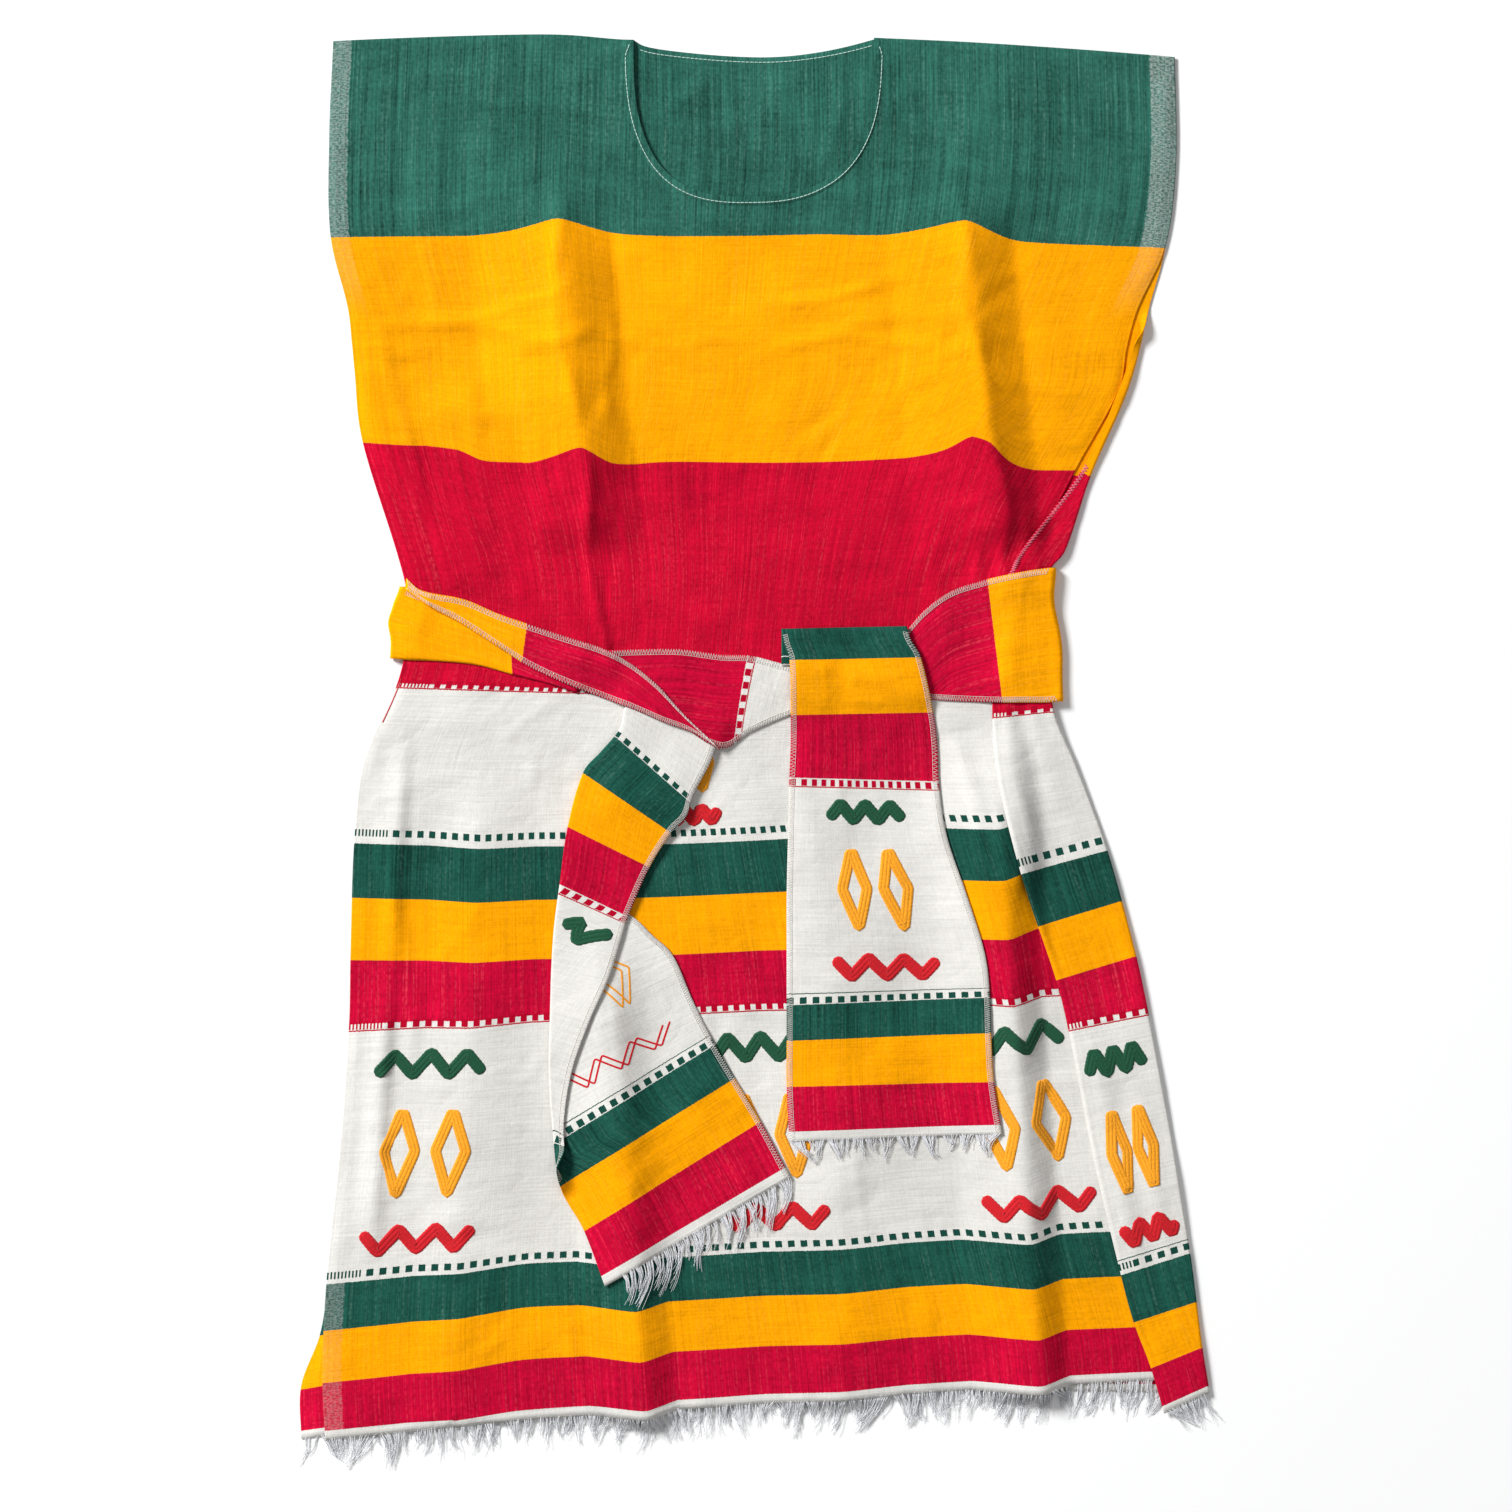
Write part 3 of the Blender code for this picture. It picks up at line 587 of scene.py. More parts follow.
def fold_share(fold: Fold, x: Array, y: Array) -> Array:
    """How much of one fold stands at a place, from 0 to 1.

    Args:
        fold: The fold.
        x: Millimetres to the right.
        y: Millimetres towards the neck.

    Returns:
        The share at each place.
    """
    run = (fold.top_y - y) / (fold.top_y - fold.low_y)
    off = x - (fold.top_x + (fold.low_x - fold.top_x) * run)
    width = np.where(off < 0, fold.left_width, fold.right_width)
    low_end = 1.0 if fold.low_y < HEM_FOLD_Y else eased((1 - run) / FOLD_RISE)
    away = np.clip(np.abs(off / width), 0, 1)
    wave = (1 + np.cos(np.pi * away)) / 2
    far, top = (math.sqrt(v + CREST_ROUNDING) for v in (1, 0))
    crest = np.maximum(0.0, far - np.sqrt(away**2 + CREST_ROUNDING)) / (far - top)
    stands = eased(run / FOLD_RISE) * low_end * mixed(wave, crest, CREST_SHARE)
    return np.where((run > 0) & (run < 1), stands, 0.0)


def shifted(x: Array, y: Array) -> Array:
    """How far the woven lines are moved up by what the folds take in.

    Args:
        x: Millimetres to the right.
        y: Millimetres towards the neck.

    Returns:
        Millimetres towards the neck.
    """
    total = np.zeros(np.broadcast(x, y).shape)
    for shift in SHIFTS:
        off = x - shift.x
        beside = np.exp(-(np.abs(off / np.where(off < 0, shift.left, shift.right)) ** 1.5))
        total += shift.rise * beside * np.exp(-(((y - shift.y) / shift.reach) ** 2))
    return total


def ripple(x: Array, y: Array) -> Array:
    """The slight unevenness of pressed cotton that has been worn and folded.

    Args:
        x: Millimetres to the right.
        y: Millimetres towards the neck.

    Returns:
        Heights in millimetres.
    """
    chance = random.Random(41)
    total = np.zeros(np.broadcast(x, y).shape)
    for _ in range(14):
        turn, length = chance.uniform(0, math.pi), chance.uniform(34, 150)
        phase, height = chance.uniform(0, 2 * math.pi), chance.uniform(0.05, 0.17)
        total += height * np.sin((x * math.cos(turn) + y * math.sin(turn)) * 2 * math.pi / length + phase)
    return total


def crinkled(seed: int, count: int) -> list[Crease]:
    """Random short creases, mostly across the cloth, as in cotton that was folded away.

    Args:
        seed: Start of their chance.
        count: How many.

    Returns:
        The creases.
    """
    chance = random.Random(seed)
    made = []
    for _ in range(count):
        x, y = chance.uniform(-310, 310), chance.uniform(-500, 540)
        turn = math.radians(chance.gauss(0, 30) + (90 if chance.random() < 0.22 else 0))
        length, width = chance.uniform(22, 95), chance.uniform(2.4, 6.0)
        height = chance.uniform(0.25, 0.7) * chance.choice((-1, 1)) * width / 4
        made.append(Crease(x, y, x + length * math.cos(turn), y + length * math.sin(turn), height, width))
    return made


class Relief:
    """Fine relief of worn cotton, stamped once on a grid and read between its cells."""

    STEP = 1.5
    HALF_WIDTH = 380.0
    HALF_LENGTH = 600.0
    REACH = 3.0
    BEND = 0.05
    OVERRUN = 0.15
    FADE = 0.4

    def __init__(self, creases: Sequence[Crease]) -> None:
        """Stamps the creases over the slight waves of pressed cotton.

        Args:
            creases: The ridges and troughs.
        """
        xs = np.arange(-self.HALF_WIDTH, self.HALF_WIDTH, self.STEP)
        ys = np.arange(-self.HALF_LENGTH, self.HALF_LENGTH, self.STEP)
        x, y = np.meshgrid(xs, ys, indexing="ij")
        self.cells = ripple(x, y)
        for crease in creases:
            self.stamp(crease, x, y)

    def stamp(self, crease: Crease, x: Array, y: Array) -> None:
        """Adds one crease where it reaches.

        Args:
            crease: The crease.
            x: Places of the cells.
            y: Places of the cells.
        """
        run_x, run_y = crease.to_x - crease.from_x, crease.to_y - crease.from_y
        length = math.hypot(run_x, run_y)
        far = self.REACH * crease.width + (self.OVERRUN + self.BEND) * length
        sides = (min(crease.from_x, crease.to_x) - far, max(crease.from_x, crease.to_x) + far)
        ends = (min(crease.from_y, crease.to_y) - far, max(crease.from_y, crease.to_y) + far)
        columns = slice(*(int(np.clip((v + self.HALF_WIDTH) / self.STEP, 0, x.shape[0])) for v in sides))
        lines = slice(*(int(np.clip((v + self.HALF_LENGTH) / self.STEP, 0, x.shape[1])) for v in ends))
        x, y = x[columns, lines] - crease.from_x, y[columns, lines] - crease.from_y
        share = (x * run_x + y * run_y) / length**2
        bend = self.BEND * length * np.sin(share * 4 + crease.from_x)
        off = (x * run_y - y * run_x) / length + bend
        fade = eased((share + self.OVERRUN) / self.FADE) * eased((1 + self.OVERRUN - share) / self.FADE)
        self.cells[columns, lines] += crease.height * fade * np.exp(-((off / crease.width) ** 2))

    def at(self, x: Array, y: Array) -> Array:
        """The relief at a place."""
        return between(self.cells, (x + self.HALF_WIDTH) / self.STEP, (y + self.HALF_LENGTH) / self.STEP)


def worn(x: Array, y: Array) -> Array:
    """All the fine relief of the front: listed creases, crinkles and waves."""
    return np.maximum(FRONT_RELIEF.at(x, y), -DEEPEST_DIP)


def back_height(y: Array) -> Array:
    """Middle of the back panel's wall, which rises where the sash passes under it."""
    return BACK_LEVEL + SASH_LIFT * waist(y)


def front_height(x: Array, y: Array) -> Array:
    """Middle of the front panel's wall, folds and creases included.

    Args:
        x: Millimetres to the right.
        y: Millimetres towards the neck.

    Returns:
        Heights in millimetres.
    """
    press = 1 - WAIST_PRESS * waist(y)
    stand = sum(fold.height * fold_share(fold, x, y) for fold in FOLDS)
    return back_height(y) + PANEL_LIFT + stand * press + worn(x, y)


def over_front(x: Array, y: Array) -> Array:
    """Middle of a wall that lies on the front, clear of the folds close by."""
    near = [front_height(x + off, y) for off in np.linspace(-CLEAR_REACH, CLEAR_REACH, 5)]
    return np.max(near, axis=0) + CLOTH_WALL + LAYER_GAP


def curl(radius: Array, turned: Array, share: Array) -> tuple[Array, Array]:
    """Out and up along a bend whose cloth is as long as a half circle, opened to the angle turned."""
    bend = np.pi * radius / turned
    return bend * np.sin(turned * share), bend * (1 - np.cos(turned * share))


FRONT_RELIEF = Relief(CREASES + crinkled(seed=5, count=260))
BACK_RELIEF = Relief(BACK_CREASES + crinkled(seed=6, count=260))
SASH_RELIEF = Relief(SASH_CREASES + crinkled(seed=9, count=300))


class Surface:
    """A laid cloth, read as points in millimetres by a share across it and a distance down or along it."""

    def lay(self, across: Array, down: Array) -> Array:
        """Points of the middle surface."""
        raise NotImplementedError

    def side(self, across: Array, down: Array) -> Array:
        """Distance across the cloth in millimetres, for the woven pattern."""
        raise NotImplementedError

    def run(self, across: Array, down: Array) -> Array:
        """Distance along the cloth in millimetres, for the woven pattern."""
        return down

    def share_at(self, side: Array, down: Array) -> Array:
        """The share across at which the cloth is some distance from its side.

        Args:
            side: Distances from the side.
            down: Distances down or along it.

        Returns:
            Shares across the cloth.
        """
        shares = np.linspace(0.0, 1.0, 161)
        lines = self.side(shares[None, :], down[:, None])
        turn = 1 if lines[0, -1] > lines[0, 0] else -1
        return np.array([np.interp(turn * s, turn * line, shares) for s, line in zip(side, lines)])

    def raised(self, across: Array, down: Array, lift: float, face: float = 1.0) -> Array:
        """Points off one face of the cloth.

        Args:
            across: Shares across the cloth.
            down: Distances down or along it.
            lift: How far from the middle surface, in millimetres.
            face: 1 for the face that looks up, -1 for the one that looks down.

        Returns:
            Points in millimetres.
        """
        here = self.lay(across, down)
        aside = self.lay(across + 0.004, down) - self.lay(across - 0.004, down)
        along = self.lay(across, down + 0.8) - self.lay(across, down - 0.8)
        normal = np.cross(aside, along)
        normal /= np.linalg.norm(normal, axis=-1, keepdims=True) + 1e-9
        normal *= np.where(normal[..., 2:] * face < 0, -1.0, 1.0)
        return here + normal * lift


class FrontCloth(Surface):
    """The front, in its flat cut: a share across, and the distance down from the shoulder."""

    RIM = 7.0
    SHOULDER_RIM = 5.0
    # How far the panel's edges lie below its middle, towards the back
    EDGE_DROP = 0.8

    @staticmethod
    def neck_point(share: Array) -> tuple[Array, Array]:
        """A point of the neckline from its left end to its right: distance aside, and distance down.

        Args:
            share: 0 at the left end, 1 at the right one.

        Returns:
            Both distances.
        """
        turn = np.pi * share
        bend = 2 / NECK_ROUNDNESS
        aside = -np.sign(np.cos(turn)) * np.abs(np.cos(turn)) ** bend
        return aside * NECK_HALF_WIDTH, NECK_DEPTH * np.maximum(0.0, np.sin(turn)) ** bend

    def cut(self, across: Array, down: Array) -> tuple[Array, Array]:
        """Where a point of the grid lies on the flat cut, so that the grid's first line is the neckline.

        Args:
            across: Shares across the cloth.
            down: Distances down or along it.

        Returns:
            Shares across and distances down on the cut.
        """
        width = FRONT[0].right_x - FRONT[0].left_x
        neck_left = 0.5 - NECK_HALF_WIDTH / width
        middle = (across >= SHOULDER_SHARE) & (across <= 1 - SHOULDER_SHARE)
        aside, neck_down = self.neck_point((across - SHOULDER_SHARE) / (1 - 2 * SHOULDER_SHARE))
        left = neck_left * across / SHOULDER_SHARE
        right = 1 - neck_left * (1 - across) / SHOULDER_SHARE
        top = np.where(middle, 0.5 + aside / width, np.where(across < 0.5, left, right))
        top_down = np.where(middle, neck_down, 0.0)
        blend = np.minimum(down / YOKE_DOWN, 1.0)
        below = np.maximum(down - YOKE_DOWN, 0.0)
        return mixed(top, across, blend), mixed(top_down, YOKE_DOWN, blend) + below

    def side(self, across: Array, down: Array) -> Array:
        """Distance from the left edge, as in the full width of the cloth."""
        width = read(FRONT, "right_x", down) - read(FRONT, "left_x", down)
        return across * width + (FRONT_WIDTH - width) * eased(across)

    def lay(self, across: Array, down: Array) -> Array:
        """Points of the front's middle surface.

        Args:
            across: Shares across the cloth.
            down: Distances down or along it.

        Returns:
            Points in millimetres.
        """
        left_x, right_x = read(FRONT, "left_x", down), read(FRONT, "right_x", down)
        left_y, middle_y, right_y = (read(FRONT, name, down) for name in ("left_y", "middle_y", "right_y"))
        x = mixed(left_x, right_x, across)
        y = mixed(left_y, right_y, across)
        y += 4 * across * (1 - across) * (middle_y - (left_y + right_y) / 2)
        drift = sum(fold.drift * fold_share(fold, x, y) for fold in FOLDS)
        y = y + drift * (1 - waist(y)) + shifted(x, y) - neck_sink(x, down)
        rim = np.minimum(across, 1 - across) * (right_x - left_x)
        close = 1 - np.minimum(eased(rim / self.RIM), eased(down / self.SHOULDER_RIM))
        aside = (across - 0.5) * (FRONT[0].right_x - FRONT[0].left_x)
        shape = (np.abs(aside) / NECK_HALF_WIDTH) ** NECK_ROUNDNESS + (down / NECK_DEPTH) ** NECK_ROUNDNESS
        from_neck = (shape ** (1 / NECK_ROUNDNESS) - 1) * np.hypot(aside, down)
        hem = NECK_HEM_RISE * (1 - eased((from_neck - NECK_HEM) / HEM_STEP))
        return joined(x, y, front_height(x, y) + hem - close * (self.EDGE_DROP + worn(x, y)))


class BackCloth(Surface):
    """The back: under the front to a share of 0.8, round the fold to 0.9, and over the front to 1."""

    START = 0.8
    END = 0.9
    ROUND_CLOTH = 6.0
    # Where the back shows inside the neck
    SHOWN_SIDE = 85.0
    SHOWN_LOW_Y = 415.0
    # Soft rolls along the turned margin: how high, at which share of it, and how wide
    ROLLS = ((1.6, 0.72, 0.13), (1.0, 0.3, 0.12))
    # Where they start, in which run they rise, and how long their waves are
    ROLLS_FROM = 300
    ROLLS_RUN = 160
    ROLLS_WAVE = 61.0
    # How much higher the middle of the hem lies than the front's, and where that starts
    HEM_RISE = 5
    HEM_FROM = 800
    HEM_RUN = 200
    # How round the right half of the neckline is; the left half is a quarter of an ellipse
    NECK_BEND = 1.9

    def side(self, across: Array, down: Array) -> Array:
        """Distance from the edge that lies on the front.

        Args:
            across: Shares across the cloth.
            down: Distances down or along it.

        Returns:
            Distances in millimetres.
        """
        left_x, fold_x, edge_x = (read(BACK, name, down) for name in ("left_x", "fold_x", "edge_x"))
        flap = np.maximum(fold_x - edge_x, TURN_EDGE)
        over = flap * (1 - across) / (1 - self.END)
        turn = flap + self.ROUND_CLOTH * (self.END - across) / (self.END - self.START)
        under = flap + self.ROUND_CLOTH + (fold_x - left_x) * (self.START - across) / self.START
        return np.where(across >= self.END, over, np.where(across >= self.START, turn, under))

    def lay(self, across: Array, down: Array) -> Array:
        """Points of the back's middle surface.

        Args:
            across: Shares across the cloth.
            down: Distances down or along it.

        Returns:
            Points in millimetres.
        """
        left_x, fold_x, edge_x = (read(BACK, name, down) for name in ("left_x", "fold_x", "edge_x"))
        left_y, fold_y, edge_y = (read(BACK, name, down) for name in ("left_y", "fold_y", "edge_y"))
        at_hem = eased((down - self.HEM_FROM) / self.HEM_RUN)
        middle_y = read(FRONT, "middle_y", down) + self.HEM_RISE * at_hem
        radius = (over_front(fold_x, fold_y) - back_height(fold_y)) / 2
        turned = np.maximum(0.02, np.pi * eased((down - ARMHOLE_END) / TURN_UP))
        grown = eased((down - ARMHOLE_END - TURN_UP) / 40)
        flap = TURN_EDGE + np.maximum(0.0, fold_x - edge_x - radius - TURN_EDGE) * grown
        bend = np.pi * radius / turned
        reach = bend * np.sin(np.minimum(turned, np.pi / 2)) + np.maximum(0.0, flap * np.cos(turned))
        near = fold_x - reach

        share = across / self.START
        low_x = mixed(left_x, near, share)
        straight = mixed(left_y, fold_y, share)
        low_y = straight + 4 * share * (1 - share) * (middle_y - (left_y + fold_y) / 2)
        off = np.clip(np.abs(low_x) / NECK_HALF_WIDTH, 0, 1)
        dip = np.where(low_x < 0, np.sqrt(1 - off**2), 1 - off**self.NECK_BEND)
        low_y -= BACK_NECK_DEPTH * dip * np.clip(1 - down / YOKE_DOWN, 0, 1)
        low_y -= neck_sink(low_x, down) * (1 - dip)
        shown = eased((self.SHOWN_SIDE - np.abs(low_x)) / 20) * eased((low_y - self.SHOWN_LOW_Y) / 30)
        fine = (0.15 + 0.5 * shown) * np.maximum(0.0, BACK_RELIEF.at(low_x, low_y))
        hem = 0.4 * shown * (1 - eased((down - NECK_HEM) / HEM_STEP))
        under = joined(low_x, low_y, back_height(low_y) + fine + hem)

        out, up = curl(radius, turned, np.clip((across - self.START) / (self.END - self.START), 0, 1))
        x, z = near + out, back_height(fold_y) + up
        round_fold = joined(x, fold_y, z)

        share = np.clip((across - self.END) / (1 - self.END), 0, 1.2)
        flat = eased(2 * turned / np.pi - 1)
        over_x = x + flap * share * np.cos(turned)
        over_y = fold_y + (edge_y - fold_y) * share * flat
        rise = over_front(over_x, over_y) - over_front(x, fold_y)
        soft = sum(high * np.exp(-(((share - place) / width) ** 2)) for high, place, width in self.ROLLS)
        soft = soft * eased((down - self.ROLLS_FROM) / self.ROLLS_RUN)
        soft = soft * (0.55 + 0.45 * np.sin(down / self.ROLLS_WAVE))
        over = joined(over_x, over_y, z + flap * share * np.sin(turned) + (rise + soft) * flat)

        across = across[..., None] if np.ndim(across) else across
        return np.where(across <= self.START, under, np.where(across <= self.END, round_fold, over))


@dataclass
class Pile:
    """Everything laid so far, as seen by a cloth that comes down on it."""

    trees: list[BVHTree] = field(default_factory=list)

    def add(self, piece: bpy.types.Object) -> None:
        """Puts one more piece on the pile."""
        self.trees.append(BVHTree.FromObject(piece, bpy.context.evaluated_depsgraph_get()))

    def top(self, x: float, y: float) -> float:
        """The height of the pile at a place of the tables, in millimetres.

        Args:
            x: Millimetres to the right.
            y: Millimetres towards the neck.

        Returns:
            The height; 0 where nothing lies.
        """
        start = Vector(((x + PLACE[0]) * MM, (y + PLACE[1]) * MM, 0.2))
        hits = [tree.ray_cast(start, Vector((0, 0, -1)))[0] for tree in self.trees]
        return max([hit.z / MM for hit in hits if hit] + [0.0])


class Drape:
    """How high a loose cloth lies over the pile."""

    STEP = 3.2
    SMOOTHINGS = 7
    MARGIN = 25.0
    LOW_MARGIN = 55.0

    def __init__(self, pile: Pile, rows: Sequence[NamedTuple]) -> None:
        """Feels out the pile under a stretch of the sash.

        Args:
            pile: What lies there already.
            rows: The stretch's table.
        """
        columns = [v for row in rows for name, v in row._asdict().items() if name.endswith("_x")]
        lines = [v for row in rows for name, v in row._asdict().items() if name.endswith("_y")]
        self.left, self.low = min(columns) - self.MARGIN, min(lines) - self.LOW_MARGIN
        xs = np.arange(self.left, max(columns) + self.MARGIN, self.STEP)
        ys = np.arange(self.low, max(lines) + self.MARGIN, self.STEP)
        solid = np.array([[pile.top(x, y) for y in ys] for x in xs])
        solid = np.max(self.neighbours(solid), axis=0)
        self.field = solid
        for _ in range(self.SMOOTHINGS):
            self.field = np.maximum(solid, np.mean(self.neighbours(self.field), axis=0))

    @staticmethod
    def neighbours(cells: Array) -> list[Array]:
        """The cells and their eight shifts by one.

        Args:
            cells: The cells.

        Returns:
            Nine grids of one size.
        """
        padded = np.pad(cells, 1, mode="edge")
        across, up = cells.shape
        return [padded[i : i + across, j : j + up] for i in range(3) for j in range(3)]

    def height(self, x: Array, y: Array) -> Array:
        """Middle of the loose cloth's wall at a place."""
        top = between(self.field, (x - self.left) / self.STEP, (y - self.low) / self.STEP)
        return top + CLOTH_WALL / 2 + LAYER_GAP


@dataclass
class Strip(Surface):
    """A plain stretch of the sash, laid from its first row to its last."""

    rows: Sequence[StripRow]
    drape: Drape
    tilt: float = 0.0
    RIM = 0.05
    RELIEF_SHARE = 0.8
    # Beyond this distance along the sash it lies bunched, not at its full width
    FLAT_TO = 430

    def run(self, across: Array, down: Array) -> Array:
        """Distance along the sash, whose woven lines may lie at a slant."""
        return down + self.tilt * across

    def point(self, across: Array, along: Array) -> tuple[Array, Array]:
        """A point of the strip, seen from above.

        Args:
            across: Shares across the cloth.
            along: Distances along it.

        Returns:
            Millimetres to the right and towards the neck.
        """
        x = mixed(read(self.rows, "upper_x", along), read(self.rows, "lower_x", along), across)
        y = mixed(read(self.rows, "upper_y", along), read(self.rows, "lower_y", along), across)
        return x, y

    def side(self, across: Array, down: Array) -> Array:
        """Distance from the upper or left edge.

        Args:
            across: Shares across the cloth.
            down: Distances down or along it.

        Returns:
            Distances in millimetres.
        """
        x0, y0 = self.point(np.zeros_like(down), down)
        x1, y1 = self.point(np.ones_like(down), down)
        width = np.hypot(x1 - x0, y1 - y0)
        return across * width + (SASH_WIDTH - width) * eased(across) * (down < self.FLAT_TO)

    def level(self, x: Array, y: Array, across: Array) -> Array:
        """Height of the strip's middle surface, with its own creases.

        Args:
            x: Millimetres to the right.
            y: Millimetres towards the neck.
            across: Shares across the cloth.

        Returns:
            Heights in millimetres.
        """
        rim = 1 - eased(np.minimum(across, 1 - across) / self.RIM)
        fine = self.RELIEF_SHARE * SASH_RELIEF.at(x, y)
        return self.drape.height(x, y) + 0.5 + np.maximum(fine, -0.3) * (1 - rim) - 0.5 * rim

    def lay(self, across: Array, down: Array) -> Array:
        """Points of the strip's middle surface."""
        x, y = self.point(across, down)
        return joined(x, y, self.level(x, y, across))


@dataclass
class Wrap(Strip):
    """A stretch that comes from under the dress and round its side; past its first row it runs under."""

    bows: Sequence[tuple[float, float]] = ()
    out: float = 1.0
    BOW_WIDTH = 0.17
    SLACK_FROM = 9.0

    def bow(self, across: Array) -> Array:
        """How far the turned end stands out along its length."""
        bulges = (far * np.exp(-(((across - place) / self.BOW_WIDTH) ** 2)) for place, far in self.bows)
        return sum(bulges, 0 * across)

    def lay(self, across: Array, down: Array) -> Array:
        """Points of the wrap's middle surface.

        Args:
            across: Shares across the cloth.
            down: Distances down or along it.

        Returns:
            Points in millimetres.
        """
        first, last = self.rows[0].along, self.rows[1].along
        edge_x, edge_y = self.point(across, np.full_like(down, first))
        edge_x = edge_x + self.out * self.bow(across)
        low = BACK_LEVEL
        top = self.drape.height(edge_x - self.out * self.SLACK_FROM, edge_y) + 0.5
        radius = (top - low) / 2
        x, y = self.point(across, np.minimum(down, last))
        over = joined(x, y, self.level(x, y, across))
        share = np.clip((down - last) / (first - last), 0, 1)
        bend_start = joined(edge_x - self.out * radius, edge_y, top)
        glide = mixed(over, bend_start, np.clip(2 * share, 0, 1)[..., None])
        turn = np.pi * np.clip(2 * share - 1, 0, 1)
        round_x = edge_x - self.out * radius * (1 - np.sin(turn))
        bend = joined(round_x, edge_y, low + radius * (1 + np.cos(turn)))
        under_x = edge_x - self.out * (radius + np.maximum(down - first, 0))
        under = joined(under_x, edge_y, np.full_like(under_x, low))
        down, share = down[..., None], share[..., None]
        turned = np.where(share <= 0.5, glide, np.where(down <= first, bend, under))
        return np.where(down <= last, over, turned)


@dataclass
class HungTail(Strip):
    """The tail that comes up under itself, folds over its first row and hangs down."""

    BEND_LENGTH = 3.0
    # How far below its fold the tail lies on its own end, and the run in which it comes down from it
    ON_END = 70.0
    COMING_DOWN = 30.0

    def lay(self, across: Array, down: Array) -> Array:
        """Points of the tail's middle surface.

        Args:
            across: Shares across the cloth.
            down: Distances down or along it.

        Returns:
            Points in millimetres.
        """
        first = self.rows[0].along
        radius = SASH_FOLD_RADIUS
        edge_x, edge_y = self.point(across, np.full_like(down, first))
        bend_at = first - self.BEND_LENGTH
        x, y = self.point(across, np.minimum(down, bend_at))
        lift = 2 * radius * eased((self.ON_END - (edge_y - y)) / self.COMING_DOWN)
        over = joined(x, y, self.level(x, y, across) + lift)
        turn = np.pi * np.clip((down - bend_at) / (first - bend_at), 0, 1)
        round_y = edge_y - radius * (1 - np.sin(turn))
        low = self.drape.height(edge_x, edge_y - radius)
        start_x, start_y = self.point(across, np.full_like(down, bend_at))
        high = self.level(start_x, start_y, across) + 2 * radius
        bend = joined(edge_x, round_y, low + (high - low) * (1 + np.cos(turn)) / 2)
        under_y = edge_y - radius - np.maximum(down - first, 0)
        under = joined(edge_x, under_y, self.drape.height(edge_x, under_y))
        down = down[..., None]
        return np.where(down <= bend_at, over, np.where(down <= first, bend, under))


@dataclass
class TurnedTail(Surface):
    """The tail that turns over: its face on top to 0.42, its fold to 0.58, and its other side under to 1."""

    rows: Sequence[TurnRow]
    drape: Drape
    START = 0.42
    END = 0.58
    ROUND_CLOTH = 4.0
    # Where the tail starts to turn over, from its cut end, and in which run
    TURN_FROM = 70.0
    TURN_RUN = 60.0

    def corners(self, along: Array) -> tuple[Array, Array, Array]:
        """The free edge, the fold and the under edge, seen from above."""
        x, y = ([read(self.rows, n + end, along) for n in ("free", "fold", "under")] for end in ("_x", "_y"))
        return tuple(joined(*place) for place in zip(x, y))

    def side(self, across: Array, down: Array) -> Array:
        """Distance from the edge that is hidden or on top, with the under edge at the sash's full width.

        Args:
            across: Shares across the cloth.
            down: Distances down or along it.

        Returns:
            Distances in millimetres.
        """
        free, fold, under = self.corners(down)
        face = np.linalg.norm(free - fold, axis=-1)
        back = np.linalg.norm(under - fold, axis=-1)
        near = SASH_WIDTH - back
        on_face = near - self.ROUND_CLOTH - face * (self.START - across) / self.START
        on_back = near + back * (across - self.END) / (1 - self.END)
        turn = near - self.ROUND_CLOTH * (self.END - across) / (self.END - self.START)
        return np.where(across <= self.START, on_face, np.where(across >= self.END, on_back, turn))

    def lay(self, across: Array, down: Array) -> Array:
        """Points of the tail's middle surface.

        Args:
            across: Shares across the cloth.
            down: Distances down or along it.

        Returns:
            Points in millimetres.
        """
        free, fold, under = self.corners(down)
        inward = under - fold
        inward = inward / np.linalg.norm(inward, axis=-1, keepdims=True)
        turned = np.maximum(0.02, np.pi * eased((down - self.TURN_FROM) / self.TURN_RUN))
        radius = np.full_like(turned, SASH_FOLD_RADIUS - 0.3)
        flap = np.maximum(TURN_EDGE, np.linalg.norm(free - fold, axis=-1) - radius)
        out_end, up_end = curl(radius, turned, 1.0)
        reach = curl(radius, turned, np.minimum(1.0, np.pi / 2 / turned))[0]
        reach = reach + np.maximum(0.0, flap * np.cos(turned))
        near = fold + inward * reach[..., None]

        share = np.clip((across - self.END) / (1 - self.END), 0, 1.2)[..., None]
        low = mixed(near, under, share)
        out, up = curl(radius, turned, np.clip((self.END - across) / (self.END - self.START), 0, 1))
        bend = near - inward * out[..., None]
        share = np.clip((self.START - across) / self.START, 0, 1.2)
        flat = eased(2 * turned / np.pi - 1)
        straight = near - inward * (out_end + flap * share * np.cos(turned))[..., None]
        top = mixed(straight, mixed(near, free, share[..., None]), flat[..., None])
        top_up = up_end + flap * share * np.sin(turned)

        on_face, on_back = across <= self.START, across >= self.END
        flat_place = np.where(on_face[..., None], top, np.where(on_back[..., None], low, bend))
        x, y = flat_place[..., 0], flat_place[..., 1]
        rise = np.where(on_face, top_up, np.where(on_back, 0.0, up))
        fine = Strip.RELIEF_SHARE * SASH_RELIEF.at(x, y)
        fine = np.where(on_face | on_back, fine, 0.5 * fine)
        return joined(x, y, self.drape.height(x, y) + rise + 0.3 + np.maximum(fine, 0.0))


